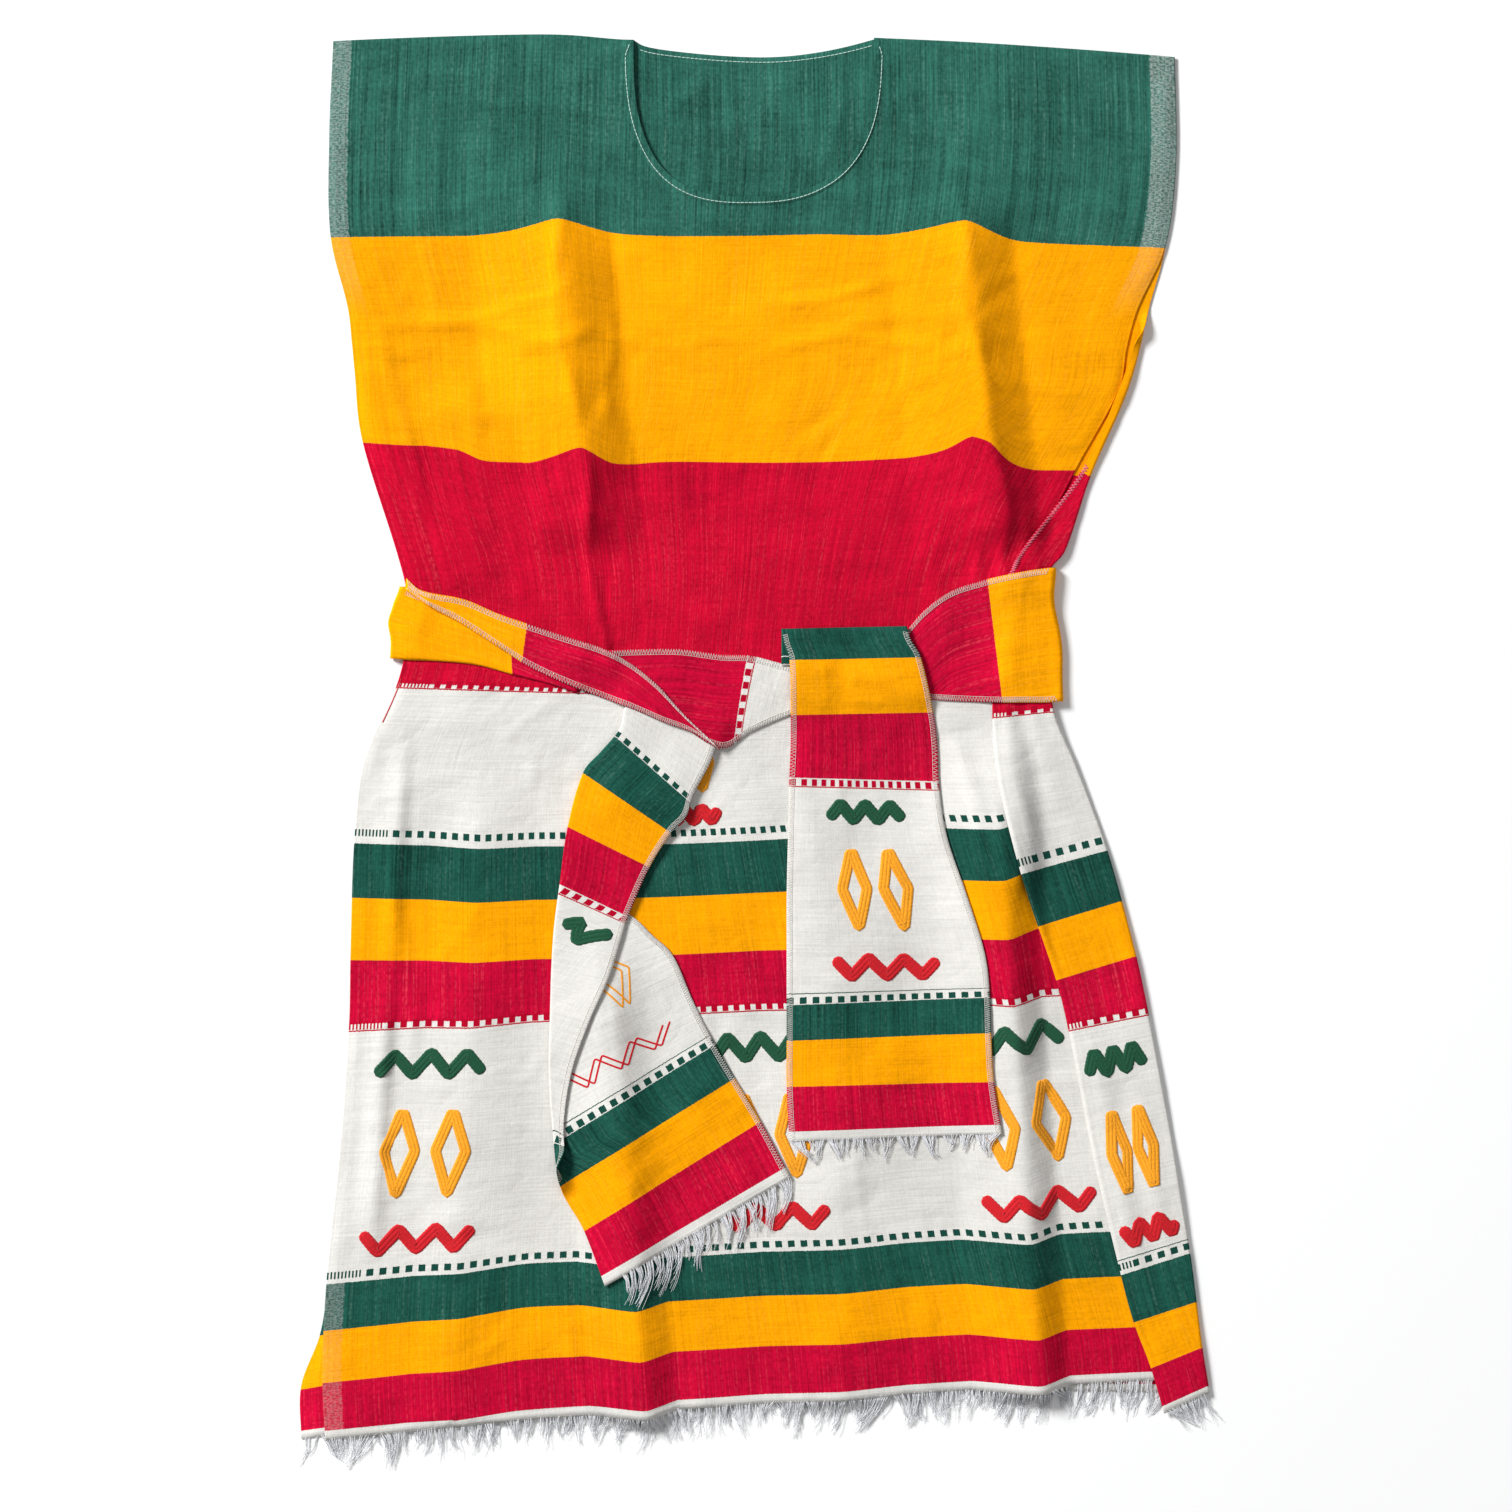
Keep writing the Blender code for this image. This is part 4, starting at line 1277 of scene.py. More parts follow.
@dataclass
class Nodes:
    """Short calls that build a material's nodes."""

    tree: bpy.types.NodeTree

    def add(self, kind: str, **settings: object) -> bpy.types.Node:
        """Adds a node with some of its settings.

        Args:
            kind: The node's type.
            settings: Its settings.

        Returns:
            The node.
        """
        made = self.tree.nodes.new(kind)
        for name, value in settings.items():
            setattr(made, name, value)
        return made

    def feed(self, socket: Socket, value: object) -> None:
        """Links a socket into another, or sets a plain value on it.

        Args:
            socket: The input.
            value: A socket, a number or a colour.
        """
        if isinstance(value, Socket):
            self.tree.links.new(value, socket)
        elif isinstance(value, tuple) and len(value) == 3 and socket.type == "RGBA":
            socket.default_value = (*value, 1.0)
        else:
            socket.default_value = value

    def math(self, operation: str, a: object, b: object = 0.0, c: object = 0.0) -> Socket:
        """One sum of up to three values.

        Args:
            operation: The kind of sum.
            a: First value.
            b: Second value.
            c: Third value.

        Returns:
            The sum's socket.
        """
        made = self.add("ShaderNodeMath", operation=operation)
        for socket, value in zip(made.inputs, (a, b, c)):
            self.feed(socket, value)
        return made.outputs[0]

    def ramped(self, value: object, low: float, high: float) -> Socket:
        """0 below low, 1 above high, and smooth between.

        Args:
            value: The value.
            low: Where it starts to rise.
            high: Where it ends.

        Returns:
            The result's socket.
        """
        made = self.add("ShaderNodeMapRange", interpolation_type="SMOOTHSTEP")
        self.feed(made.inputs["Value"], value)
        made.inputs["From Min"].default_value = low
        made.inputs["From Max"].default_value = high
        return made.outputs["Result"]

    def mix(self, share: object, a: object, b: object, blend: str = "MIX") -> Socket:
        """Mixes two colours.

        Args:
            share: How much of b.
            a: First colour.
            b: Second colour.
            blend: How they blend.

        Returns:
            The colour's socket.
        """
        made = self.add("ShaderNodeMix", data_type="RGBA", blend_type=blend)
        self.feed(made.inputs["Factor"], share)
        self.feed(made.inputs[6], a)
        self.feed(made.inputs[7], b)
        return made.outputs[2]

    def brightened(self, colour: object, share: object) -> Socket:
        """A colour times a brightness.

        Args:
            colour: The colour.
            share: The brightness.

        Returns:
            The colour's socket.
        """
        made = self.add("ShaderNodeVectorMath", operation="SCALE")
        self.feed(made.inputs[0], colour)
        self.feed(made.inputs["Scale"], share)
        return made.outputs[0]

    def rumple(self, u: object, v: object) -> Socket:
        """Soft ridges and troughs of handled cotton, too fine for the mesh.

        Args:
            u: Metres across the cloth.
            v: Metres along it.

        Returns:
            The height's socket.
        """
        broad = self.math("ABSOLUTE", self.math("SUBTRACT", self.grain(u, v, 14, 24, 2), 0.5))
        fine = self.math("ABSOLUTE", self.math("SUBTRACT", self.grain(v, u, 52, 38, 2), 0.5))
        return self.math("MULTIPLY_ADD", fine, 0.45, broad)

    def grain(self, u: object, v: object, across: float, along: float, detail: float = 2.0) -> Socket:
        """Noise drawn out along one direction of the cloth.

        Args:
            u: Metres across the cloth.
            v: Metres along it.
            across: Grains in a metre across.
            along: Grains in a metre along.
            detail: Its layers.

        Returns:
            The noise's socket.
        """
        place = self.add("ShaderNodeCombineXYZ")
        self.feed(place.inputs[0], self.math("MULTIPLY", u, across))
        self.feed(place.inputs[1], self.math("MULTIPLY", v, along))
        made = self.add("ShaderNodeTexNoise", noise_dimensions="2D")
        made.inputs["Scale"].default_value = 1.0
        made.inputs["Detail"].default_value = detail
        self.feed(made.inputs["Vector"], place.outputs[0])
        return made.outputs["Fac"]


@dataclass(frozen=True)
class WovenFinish:
    """Handwoven cotton: bands of colour, rows of squares, uneven threads with broad patches that are partly
    painted shade of folds, and a rib.
    """

    name: str
    bands: tuple[Band, ...]
    rows: tuple[SquareRow, ...]
    length: float
    pitch: float = 9.9
    bar_pitch: float = 2.7
    bar_zone: float = 27.0
    selvedge: float = 0.0
    selvedge_end: float = 0.0
    low_selvedge: float = 0.0
    wide: float = 0.0

    STREAKS = {
        Yarn.GREEN: 1.0,
        Yarn.DEEP_GREEN: 0.85,
        Yarn.RED: 0.5,
        Yarn.DEEP_RED: 0.6,
        Yarn.YELLOW: 0.2,
        Yarn.WHITE: 0.0,
    }
    # Grains for each metre across and along the cloth, and their detail
    GRAINS = {
        "feather": (1400, 3, 1),
        "thread": (760, 14, 3),
        "broad": (240, 5, 2),
        "dots": (420, 330, 2),
        # The cloud and blotch grains are partly painted shade of broad folds
        "cloud": (11, 8, 2),
        "blotch": (34, 60, 3),
        "rib": (18, 640, 2),
        "lines": (640, 9, 2),
        "weave": (1300, 1300, 1),
    }
    # How much each grain brightens the plain white, and what it adds in a streaked band. The cloud and blotch
    # grains give uneven colour and, in the bands, also painted shade of broad soft folds.
    LIGHTS = (
        ("thread", 0.12, 1.25),
        ("broad", 0.0, 0.75),
        ("dots", 0.16, 0.6),
        ("rib", 0.22, 0.1),
        ("cloud", 0.2, 0.45),
        ("blotch", 0.06, 0.45),
    )
    PALE_THREAD = (0.55, 0.62, 0.58)
    SELVEDGE_WHITE = (0.66, 0.70, 0.68)
    # The right woven edge is wider than the left by this share
    FAR_SELVEDGE = 1.35
    # How far the edge of a band wanders, in millimetres
    FEATHER = 1.1
    # The share of a pitch that a square and a bar take up, and how bright their yarn is on the white
    SQUARE_SHARE = 0.54
    BAR_SHARE = 0.5
    ROW_LIGHT = 0.8

    def ramp(self, nodes: Nodes, v: object) -> tuple[Socket, Socket]:
        """The band's colour, and how strongly its threads show.

        Args:
            nodes: The material's nodes.
            v: Metres along it.

        Returns:
            Both sockets.
        """
        made = nodes.add("ShaderNodeValToRGB")
        made.color_ramp.interpolation = "CONSTANT"
        stops = made.color_ramp.elements
        for index, band in enumerate(self.bands):
            stop = stops[0] if index == 0 else stops[1] if index == 1 else stops.new(band.start / self.length)
            stop.position = band.start / self.length
            stop.color = (*band.yarn.value, self.STREAKS[band.yarn])
        nodes.feed(made.inputs[0], nodes.math("DIVIDE", v, self.length * MM))
        return made.outputs["Color"], made.outputs["Alpha"]

    def streaked(self, nodes: Nodes, grains: dict[str, Socket], colour: Socket, streak: Socket) -> Socket:
        """Gives the plain bands their uneven warp threads, and broad patches of uneven colour and painted fold
        shade, and the white its weft rib.

        Args:
            nodes: The material's nodes.
            grains: The cloth's noises.
            colour: The bands' colour.
            streak: How strongly the band's threads show.

        Returns:
            The colour.
        """
        pale = nodes.math("MULTIPLY", grains["lines"], nodes.ramped(grains["dots"], 0.3, 0.7))
        pale = nodes.math("MULTIPLY", pale, nodes.math("MULTIPLY", streak, 0.15))
        colour = nodes.mix(pale, colour, nodes.mix(0.5, colour, self.PALE_THREAD))
        light = 1.0
        for name, plain_share, streak_share in self.LIGHTS:
            share = nodes.math("MULTIPLY_ADD", streak, streak_share, plain_share)
            light = nodes.math("MULTIPLY_ADD", nodes.math("SUBTRACT", grains[name], 0.5), share, light)
        return nodes.brightened(colour, light)

    def dotted(self, nodes: Nodes, u: Socket, v: Socket, colour: Socket) -> Socket:
        """Weaves the rows of squares, which close up to bars near the woven edges.

        Args:
            nodes: The material's nodes.
            u: Metres across the cloth.
            v: Metres along it.
            colour: The colour so far.

        Returns:
            The colour.
        """
        turn = nodes.math("FRACT", nodes.math("DIVIDE", u, self.pitch * MM))
        squares = nodes.math("LESS_THAN", turn, self.SQUARE_SHARE)
        turn = nodes.math("FRACT", nodes.math("DIVIDE", u, self.bar_pitch * MM))
        bars = nodes.math("LESS_THAN", turn, self.BAR_SHARE)
        near = nodes.math("LESS_THAN", u, self.bar_zone * MM)
        if self.wide:
            far = nodes.math("GREATER_THAN", u, (self.wide - self.bar_zone) * MM)
            near = nodes.math("MAXIMUM", near, far)
        squares = nodes.math("MULTIPLY", squares, nodes.math("SUBTRACT", 1.0, near))
        broken = nodes.math("ADD", squares, nodes.math("MULTIPLY", bars, near))
        for row in self.rows:
            share = nodes.math("COMPARE", v, row.middle * MM, row.half * MM)
            if row.broken:
                share = nodes.math("MULTIPLY", share, broken)
            colour = nodes.mix(share, colour, tuple(self.ROW_LIGHT * c for c in row.yarn.value))
        return colour

    def edged(self, nodes: Nodes, u: Socket, v: Socket, streak: Socket, colour: Socket) -> Socket:
        """Weaves the paler edge of the armholes, and of the hem's left corner.

        Args:
            nodes: The material's nodes.
            u: Metres across the cloth.
            v: Metres along it.
            streak: How strongly the band's threads show.
            colour: The colour so far.

        Returns:
            The colour.
        """
        shift = nodes.math("SUBTRACT", u, 0.0015)
        rough_u = nodes.math("MULTIPLY_ADD", nodes.grain(u, v, 90, 420, 2), 0.003, shift)
        past = nodes.ramped(rough_u, (self.selvedge - 0.8) * MM, self.selvedge * MM)
        inside = nodes.math("SUBTRACT", 1.0, past)
        if self.wide:
            far = (self.wide - self.FAR_SELVEDGE * self.selvedge) * MM
            right = nodes.math("MULTIPLY", nodes.ramped(rough_u, far, far + 0.001), self.FAR_SELVEDGE)
            inside = nodes.math("MAXIMUM", inside, right)
        ended = nodes.ramped(v, (self.selvedge_end - 45) * MM, self.selvedge_end * MM)
        below = nodes.ramped(v, self.low_selvedge * MM, (self.low_selvedge + 6) * MM)
        below = nodes.math("MULTIPLY", below, nodes.math("LESS_THAN", u, 0.1))
        shown = nodes.math("MAXIMUM", nodes.math("SUBTRACT", 1.0, ended), below)
        ladder = nodes.ramped(nodes.grain(u, v, 420, 900, 2), 0.3, 0.7)
        ladder = nodes.math("MULTIPLY_ADD", ladder, 0.24, 0.05)
        share = nodes.math("MULTIPLY", nodes.math("MULTIPLY", inside, shown), ladder)
        share = nodes.math("MULTIPLY", share, streak)
        return nodes.mix(share, colour, self.SELVEDGE_WHITE)

    def make(self) -> bpy.types.Material:
        """Builds the material.

        Returns:
            The material.
        """
        material = bpy.data.materials.new(self.name)
        material.use_nodes = True
        nodes = Nodes(material.node_tree)
        shader = material.node_tree.nodes["Principled BSDF"]
        shader.inputs["Specular IOR Level"].default_value = 0.03
        shader.inputs["Sheen Weight"].default_value = 0.006
        shader.inputs["Sheen Roughness"].default_value = 0.6
        place = nodes.add("ShaderNodeSeparateXYZ")
        nodes.feed(place.inputs[0], nodes.add("ShaderNodeUVMap", uv_map="cloth").outputs[0])
        u, v = place.outputs[0], place.outputs[1]
        grains = {name: nodes.grain(u, v, *sizes) for name, sizes in self.GRAINS.items()}
        grains["lines"] = nodes.ramped(grains["lines"], 0.5, 0.8)

        feather = nodes.math("SUBTRACT", grains["feather"], 0.5)
        v_edge = nodes.math("MULTIPLY_ADD", feather, self.FEATHER * MM, v)
        colour, streak = self.ramp(nodes, v_edge)
        colour = self.streaked(nodes, grains, colour, streak)
        colour = self.dotted(nodes, u, v_edge, colour)
        if self.selvedge:
            colour = self.edged(nodes, u, v, streak, colour)
        nodes.feed(shader.inputs["Base Color"], colour)
        nodes.feed(shader.inputs["Roughness"], nodes.math("MULTIPLY_ADD", grains["thread"], 0.16, 0.82))

        share = nodes.math("MULTIPLY_ADD", streak, 0.6, 0.4)
        weave = nodes.math("MULTIPLY", grains["weave"], 0.5)
        height = nodes.math("MULTIPLY_ADD", grains["thread"], share, weave)
        height = nodes.math("MULTIPLY_ADD", nodes.rumple(u, v), 5.0, height)
        share = nodes.math("MULTIPLY_ADD", streak, -0.25, 0.5)
        height = nodes.math("MULTIPLY_ADD", grains["rib"], share, height)
        bump = nodes.add("ShaderNodeBump")
        bump.inputs["Strength"].default_value = 0.5
        bump.inputs["Distance"].default_value = 0.0006
        nodes.feed(bump.inputs["Height"], height)
        nodes.feed(shader.inputs["Normal"], bump.outputs[0])
        return material


@dataclass(frozen=True)
class YarnFinish:
    """Loose or stitched yarn: one colour with short dark and pale runs of twist."""

    name: str
    yarn: Yarn
    twist: float = 700.0
    depth: float = 0.3
    DARK_SHARE = 0.45

    def make(self) -> bpy.types.Material:
        """Builds the material.

        Returns:
            The material.
        """
        material = bpy.data.materials.new(self.name)
        material.use_nodes = True
        nodes = Nodes(material.node_tree)
        shader = material.node_tree.nodes["Principled BSDF"]
        shader.inputs["Roughness"].default_value = 0.8
        shader.inputs["Specular IOR Level"].default_value = 0.25
        shader.inputs["Sheen Weight"].default_value = 0.2
        place = nodes.add("ShaderNodeTexCoord").outputs["Object"]
        noise = nodes.add("ShaderNodeTexNoise")
        nodes.feed(noise.inputs["Vector"], place)
        noise.inputs["Scale"].default_value = self.twist
        noise.inputs["Detail"].default_value = 2.0
        share = nodes.math("MULTIPLY", nodes.ramped(noise.outputs["Fac"], 0.35, 0.65), self.depth)
        dark = tuple(self.DARK_SHARE * c for c in self.yarn.value)
        nodes.feed(shader.inputs["Base Color"], nodes.mix(share, self.yarn.value, dark))
        bump = nodes.add("ShaderNodeBump")
        bump.inputs["Strength"].default_value = 0.6
        bump.inputs["Distance"].default_value = 0.0005
        nodes.feed(bump.inputs["Height"], noise.outputs["Fac"])
        nodes.feed(shader.inputs["Normal"], bump.outputs[0])
        return material


@dataclass
class Piece:
    """Shared steps that finish a new piece."""

    name: str
    slot: str
    material: bpy.types.Material
    replaces: tuple[str, ...] = ()

    def finish(self, mesh: bpy.types.Mesh) -> bpy.types.Object:
        """Gives a mesh its object, its material and its body, and hides the CAD parts that it replaces.

        Args:
            mesh: The mesh.

        Returns:
            The piece.
        """
        mesh.materials.clear()
        mesh.materials.append(self.material)
        mesh.shade_smooth()
        made = bpy.data.objects.new(self.name, mesh)
        bpy.context.scene.collection.objects.link(made)
        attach(made, "root")
        if self.replaces:
            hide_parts(*self.replaces)
        LOG.info("%s: %d faces", self.name, len(mesh.polygons))
        return made


@dataclass
class ClothPiece(Piece):
    """A sheet of cloth: a fine grid laid on its surface, with a thin wall and its flat woven coordinates."""

    surface: Surface = None
    across: Array = None
    down: Array = None
    cut: Callable[[Array, Array], tuple[Array, Array]] = None

    def build(self) -> bpy.types.Object:
        """Lays the grid and gives it its wall.

        Returns:
            The finished piece.
        """
        columns, lines = len(self.across) - 1, len(self.down) - 1
        grid = bmesh.new()
        bmesh.ops.create_grid(grid, x_segments=columns, y_segments=lines, size=0.5)
        mesh = bpy.data.meshes.new(self.name)
        grid.to_mesh(mesh)
        grid.free()
        flat = np.empty(len(mesh.vertices) * 3)
        mesh.vertices.foreach_get("co", flat)
        flat = flat.reshape(-1, 3)
        across = self.across[np.rint((flat[:, 0] + 0.5) * columns).astype(int)]
        down = self.down[np.rint((0.5 - flat[:, 1]) * lines).astype(int)]
        if self.cut:
            across, down = self.cut(across, down)
        points = (self.surface.lay(across, down) + PLACE) * MM
        mesh.vertices.foreach_set("co", points.astype(np.float32).ravel())
        woven = np.stack((self.surface.side(across, down), self.surface.run(across, down)), axis=-1) * MM
        corners = np.empty(len(mesh.loops), dtype=np.int32)
        mesh.loops.foreach_get("vertex_index", corners)
        layer = mesh.uv_layers.active or mesh.uv_layers.new(name="cloth")
        layer.name = "cloth"
        layer.data.foreach_set("uv", woven[corners].astype(np.float32).ravel())
        mesh.update()
        made = self.finish(mesh)
        wall = made.modifiers.new("wall", "SOLIDIFY")
        wall.thickness = CLOTH_WALL * MM
        wall.offset = 0.0
        return made


@dataclass
class Threads(Piece):
    """Many thin yarns in one mesh, each along its own points."""

    radius: float = 0.3
    taper: bool = False

    def build(self, lines: Sequence[Array]) -> bpy.types.Object:
        """Makes the yarns.

        Args:
            lines: The points of each yarn, in millimetres of the tables.

        Returns:
            The finished piece.
        """
        curve = bpy.data.curves.new(self.name, "CURVE")
        curve.dimensions = "3D"
        curve.bevel_depth = self.radius * MM
        curve.bevel_resolution = 0
        curve.use_fill_caps = True
        for points in lines:
            spline = curve.splines.new("POLY")
            spline.points.add(len(points) - 1)
            placed = (points + PLACE) * MM
            spline.points.foreach_set("co", np.c_[placed, np.ones(len(points))].ravel())
            if self.taper:
                thin = np.linspace(1.0, 0.35, len(points))
                spline.points.foreach_set("radius", thin)
        holder = bpy.data.objects.new(self.name + "_path", curve)
        bpy.context.scene.collection.objects.link(holder)
        bpy.context.view_layer.update()
        mesh = bpy.data.meshes.new_from_object(holder.evaluated_get(bpy.context.evaluated_depsgraph_get()))
        mesh.name = self.name
        bpy.data.objects.remove(holder)
        bpy.data.curves.remove(curve)
        return self.finish(mesh)


@dataclass
class Ribbon:
    """A raised stroke of close rows of chain stitch along points on the cloth."""

    points: Array
    ups: Array
    width: float
    height: float
    ROWS = 3
    TOP = 18
    STITCH = 3.1
    # How far the stroke's underside lies in the cloth, against its height
    ROOT = -0.2

    def into(self, total: bmesh.types.BMesh) -> None:
        """Adds the stroke to a mesh that holds several.

        Args:
            total: The mesh.
        """
        count, ring = len(self.points), self.TOP + 2
        run = np.gradient(self.points, axis=0)
        run /= np.linalg.norm(run, axis=1, keepdims=True) + 1e-9
        side = np.cross(run, self.ups)
        side /= np.linalg.norm(side, axis=1, keepdims=True) + 1e-9
        length = np.r_[0, np.cumsum(np.linalg.norm(np.diff(self.points, axis=0), axis=1))]
        ends = np.clip(np.minimum(length, length[-1] - length) / (self.width * 0.5), 0, 1)
        body = np.sqrt(ends * (2 - ends))
        start = len(total.verts)
        bmesh.ops.create_grid(total, x_segments=count - 1, y_segments=ring, size=0.5)
        total.verts.ensure_lookup_table()
        for vertex in total.verts[start:]:
            i = round((vertex.co.x + 0.5) * (count - 1))
            step = round((vertex.co.y + 0.5) * ring)
            aside = step - self.TOP - 1
            high = self.ROOT
            if step <= self.TOP:
                aside = 1 - 2 * step / self.TOP
                row = (aside + 1) / 2 * self.ROWS
                lobe = abs(math.sin(math.pi * row))
                leg = abs(row - math.floor(row) - 0.5)
                loop = math.sin((length[i] / self.STITCH + leg) * 2 * math.pi)
                edge = math.sqrt(max(0.0, 1 - aside**4))
                high = edge * (0.45 + 0.38 * math.sqrt(lobe) + 0.17 * loop * lobe)
            wide = body[i] * self.width / 2 * (1 + 0.04 * math.sin(length[i] * 2 * math.pi / self.STITCH))
            place = self.points[i] + side[i] * wide * aside + self.ups[i] * body[i] * self.height * high
            vertex.co = Vector((place + PLACE) * MM)


@dataclass
class Embroidery(Piece):
    """Chain stitch strokes of one colour, in one mesh."""

    replaces: tuple[str, ...] = field(default=(), kw_only=True)
    width: float = 8.0
    height: float = 0.9
    lift: float = CLOTH_WALL / 2
    face: float = 1.0

    def build(self, strokes: Sequence[tuple[Surface, Array, Array]]) -> bpy.types.Object:
        """Makes the strokes.

        Args:
            strokes: For each, its cloth, and the shares across and distances down of its points.

        Returns:
            The finished piece.
        """
        total = bmesh.new()
        for surface, across, down in strokes:
            low = surface.raised(across, down, self.lift, self.face)
            high = surface.raised(across, down, self.lift + 1.0, self.face)
            ups = high - low
            Ribbon(low, ups, self.width, self.height).into(total)
        bmesh.ops.remove_doubles(total, verts=total.verts, dist=0.00002)
        bmesh.ops.recalc_face_normals(total, faces=total.faces)
        mesh = bpy.data.meshes.new(self.name)
        total.to_mesh(mesh)
        total.free()
        return self.finish(mesh)


class Figure(Enum):
    """The strokes of the embroidered figure, in millimetres from its middle: across, and down."""

    TOP = ((-43, -55), (-29, -70), (-14.5, -55), (0, -70), (14.5, -55), (29, -70), (43, -55))
    BOTTOM = ((-43, 55), (-29, 70), (-14.5, 55), (0, 70), (14.5, 55), (29, 70), (43, 55))
    LEFT_DIAMOND = ((-20, -30), (-32, 0), (-20, 30), (-8, 0), (-20, -30))
    RIGHT_DIAMOND = ((20, -30), (8, 0), (20, 30), (32, 0), (20, -30))


def dense(points: Sequence[tuple[float, float]], step: float = 1.3, soft: float = 2.0) -> Array:
    """Closely spaced points along a line with slightly rounded corners.

    Args:
        points: The line's corners.
        step: From point to point.
        soft: How far a corner is rounded.

    Returns:
        The points.
    """
    corners = np.array(points, dtype=float)
    lengths = np.linalg.norm(np.diff(corners, axis=0), axis=1)
    at = np.r_[0, np.cumsum(lengths)]
    count = max(8, int(at[-1] / step))
    run = np.linspace(0, at[-1], count)
    line = np.stack([np.interp(run, at, corners[:, k]) for k in range(2)], axis=-1)
    window = max(1, int(soft / step))
    for _ in range(window):
        line[1:-1] = (line[:-2] + 2 * line[1:-1] + line[2:]) / 4
    return line


def strokes_on(
    surface: Surface, figure: Figure, side: float, down: float, wide: float = 1.0, long: float = 1.0
) -> list[tuple]:
    """Places one line of the figure on a cloth, and leaves out what would run past its edges.

    Args:
        surface: The cloth.
        figure: The line.
        side: Where the figure's middle lies, in millimetres from the cloth's side.
        down: Where it lies along the cloth.
        wide: The figure's width against its usual one.
        long: Its length against its usual one; negative where the cloth's length runs up, as on the tails.

    Returns:
        The cloth, shares across and distances down of each unbroken run.
    """
    line = dense(np.array(figure.value) * (wide, long)) + (side, down)
    low = surface.side(np.zeros(len(line)), line[:, 1])
    high = surface.side(np.ones(len(line)), line[:, 1])
    low, high = np.minimum(low, high) + FIGURE_MARGIN, np.maximum(low, high) - FIGURE_MARGIN
    inside = (line[:, 0] > low) & (line[:, 0] < high)
    runs, start = [], None
    for n, kept in enumerate([*inside, False]):
        if kept and start is None:
            start = n
        elif not kept and start is not None:
            if n - start > SHORTEST_RUN:
                part = line[start:n]
                runs.append((surface, surface.share_at(part[:, 0], part[:, 1]), part[:, 1]))
            start = None
    return runs


def split_at(runs: list[tuple], low: float, high: float) -> list[tuple]:
    """Keeps what lies between two shares across, as unbroken runs of its own.

    Args:
        runs: Runs as from strokes_on.
        low: The lower share.
        high: The higher share.

    Returns:
        The runs between them.
    """
    kept = []
    for surface, across, down in runs:
        inside = np.flatnonzero((across >= low) & (across <= high))
        for part in np.split(inside, np.flatnonzero(np.diff(inside) > 1) + 1):
            if len(part) > SHORTEST_PART:
                kept.append((surface, across[part], down[part]))
    return kept


def zigzag(
    surface: Surface, edge: int, start: float, end: float, width: float = 4.2, pitch: float = 1.9
) -> Array:
    """The overlock stitch: thread that runs to and fro between an edge and a line inside it.

    Args:
        surface: The cloth.
        edge: 0 for the edge at the share 0, 1 for the one at 1.
        start: Where the stitches start along the cloth.
        end: Where they end.
        width: How far they reach in.
        pitch: From stitch to stitch.

    Returns:
        The thread's points.
    """
    half = STITCH_STEPS // 2
    down = np.arange(start, end, pitch / STITCH_STEPS)
    at_edge = surface.side(np.full_like(down, float(edge)), down)
    inside = surface.side(np.full_like(down, abs(edge - 0.01)), down)
    away = np.abs((np.arange(len(down)) % STITCH_STEPS) - half) / half
    across = surface.share_at(at_edge + np.sign(inside - at_edge) * (1 - away) * width, down)
    return surface.raised(across, down, CLOTH_WALL / 2 + STITCH_LIFT)


def dashes(points: Array, length: float, gap: float) -> list[Array]:
    """Cuts a line into stitches.

    Args:
        points: The line.
        length: Length of a stitch.
        gap: From one stitch to the next.

    Returns:
        The points of each stitch.
    """
    at = np.r_[0, np.cumsum(np.linalg.norm(np.diff(points, axis=0), axis=1))]
    made = []
    for start in np.arange(gap, at[-1] - length, length + gap):
        run = np.linspace(start, start + length, 4)
        made.append(np.stack([np.interp(run, at, points[:, k]) for k in range(3)], axis=-1))
        made[-1][(0, -1), 2] -= STITCH_DIP
    return made


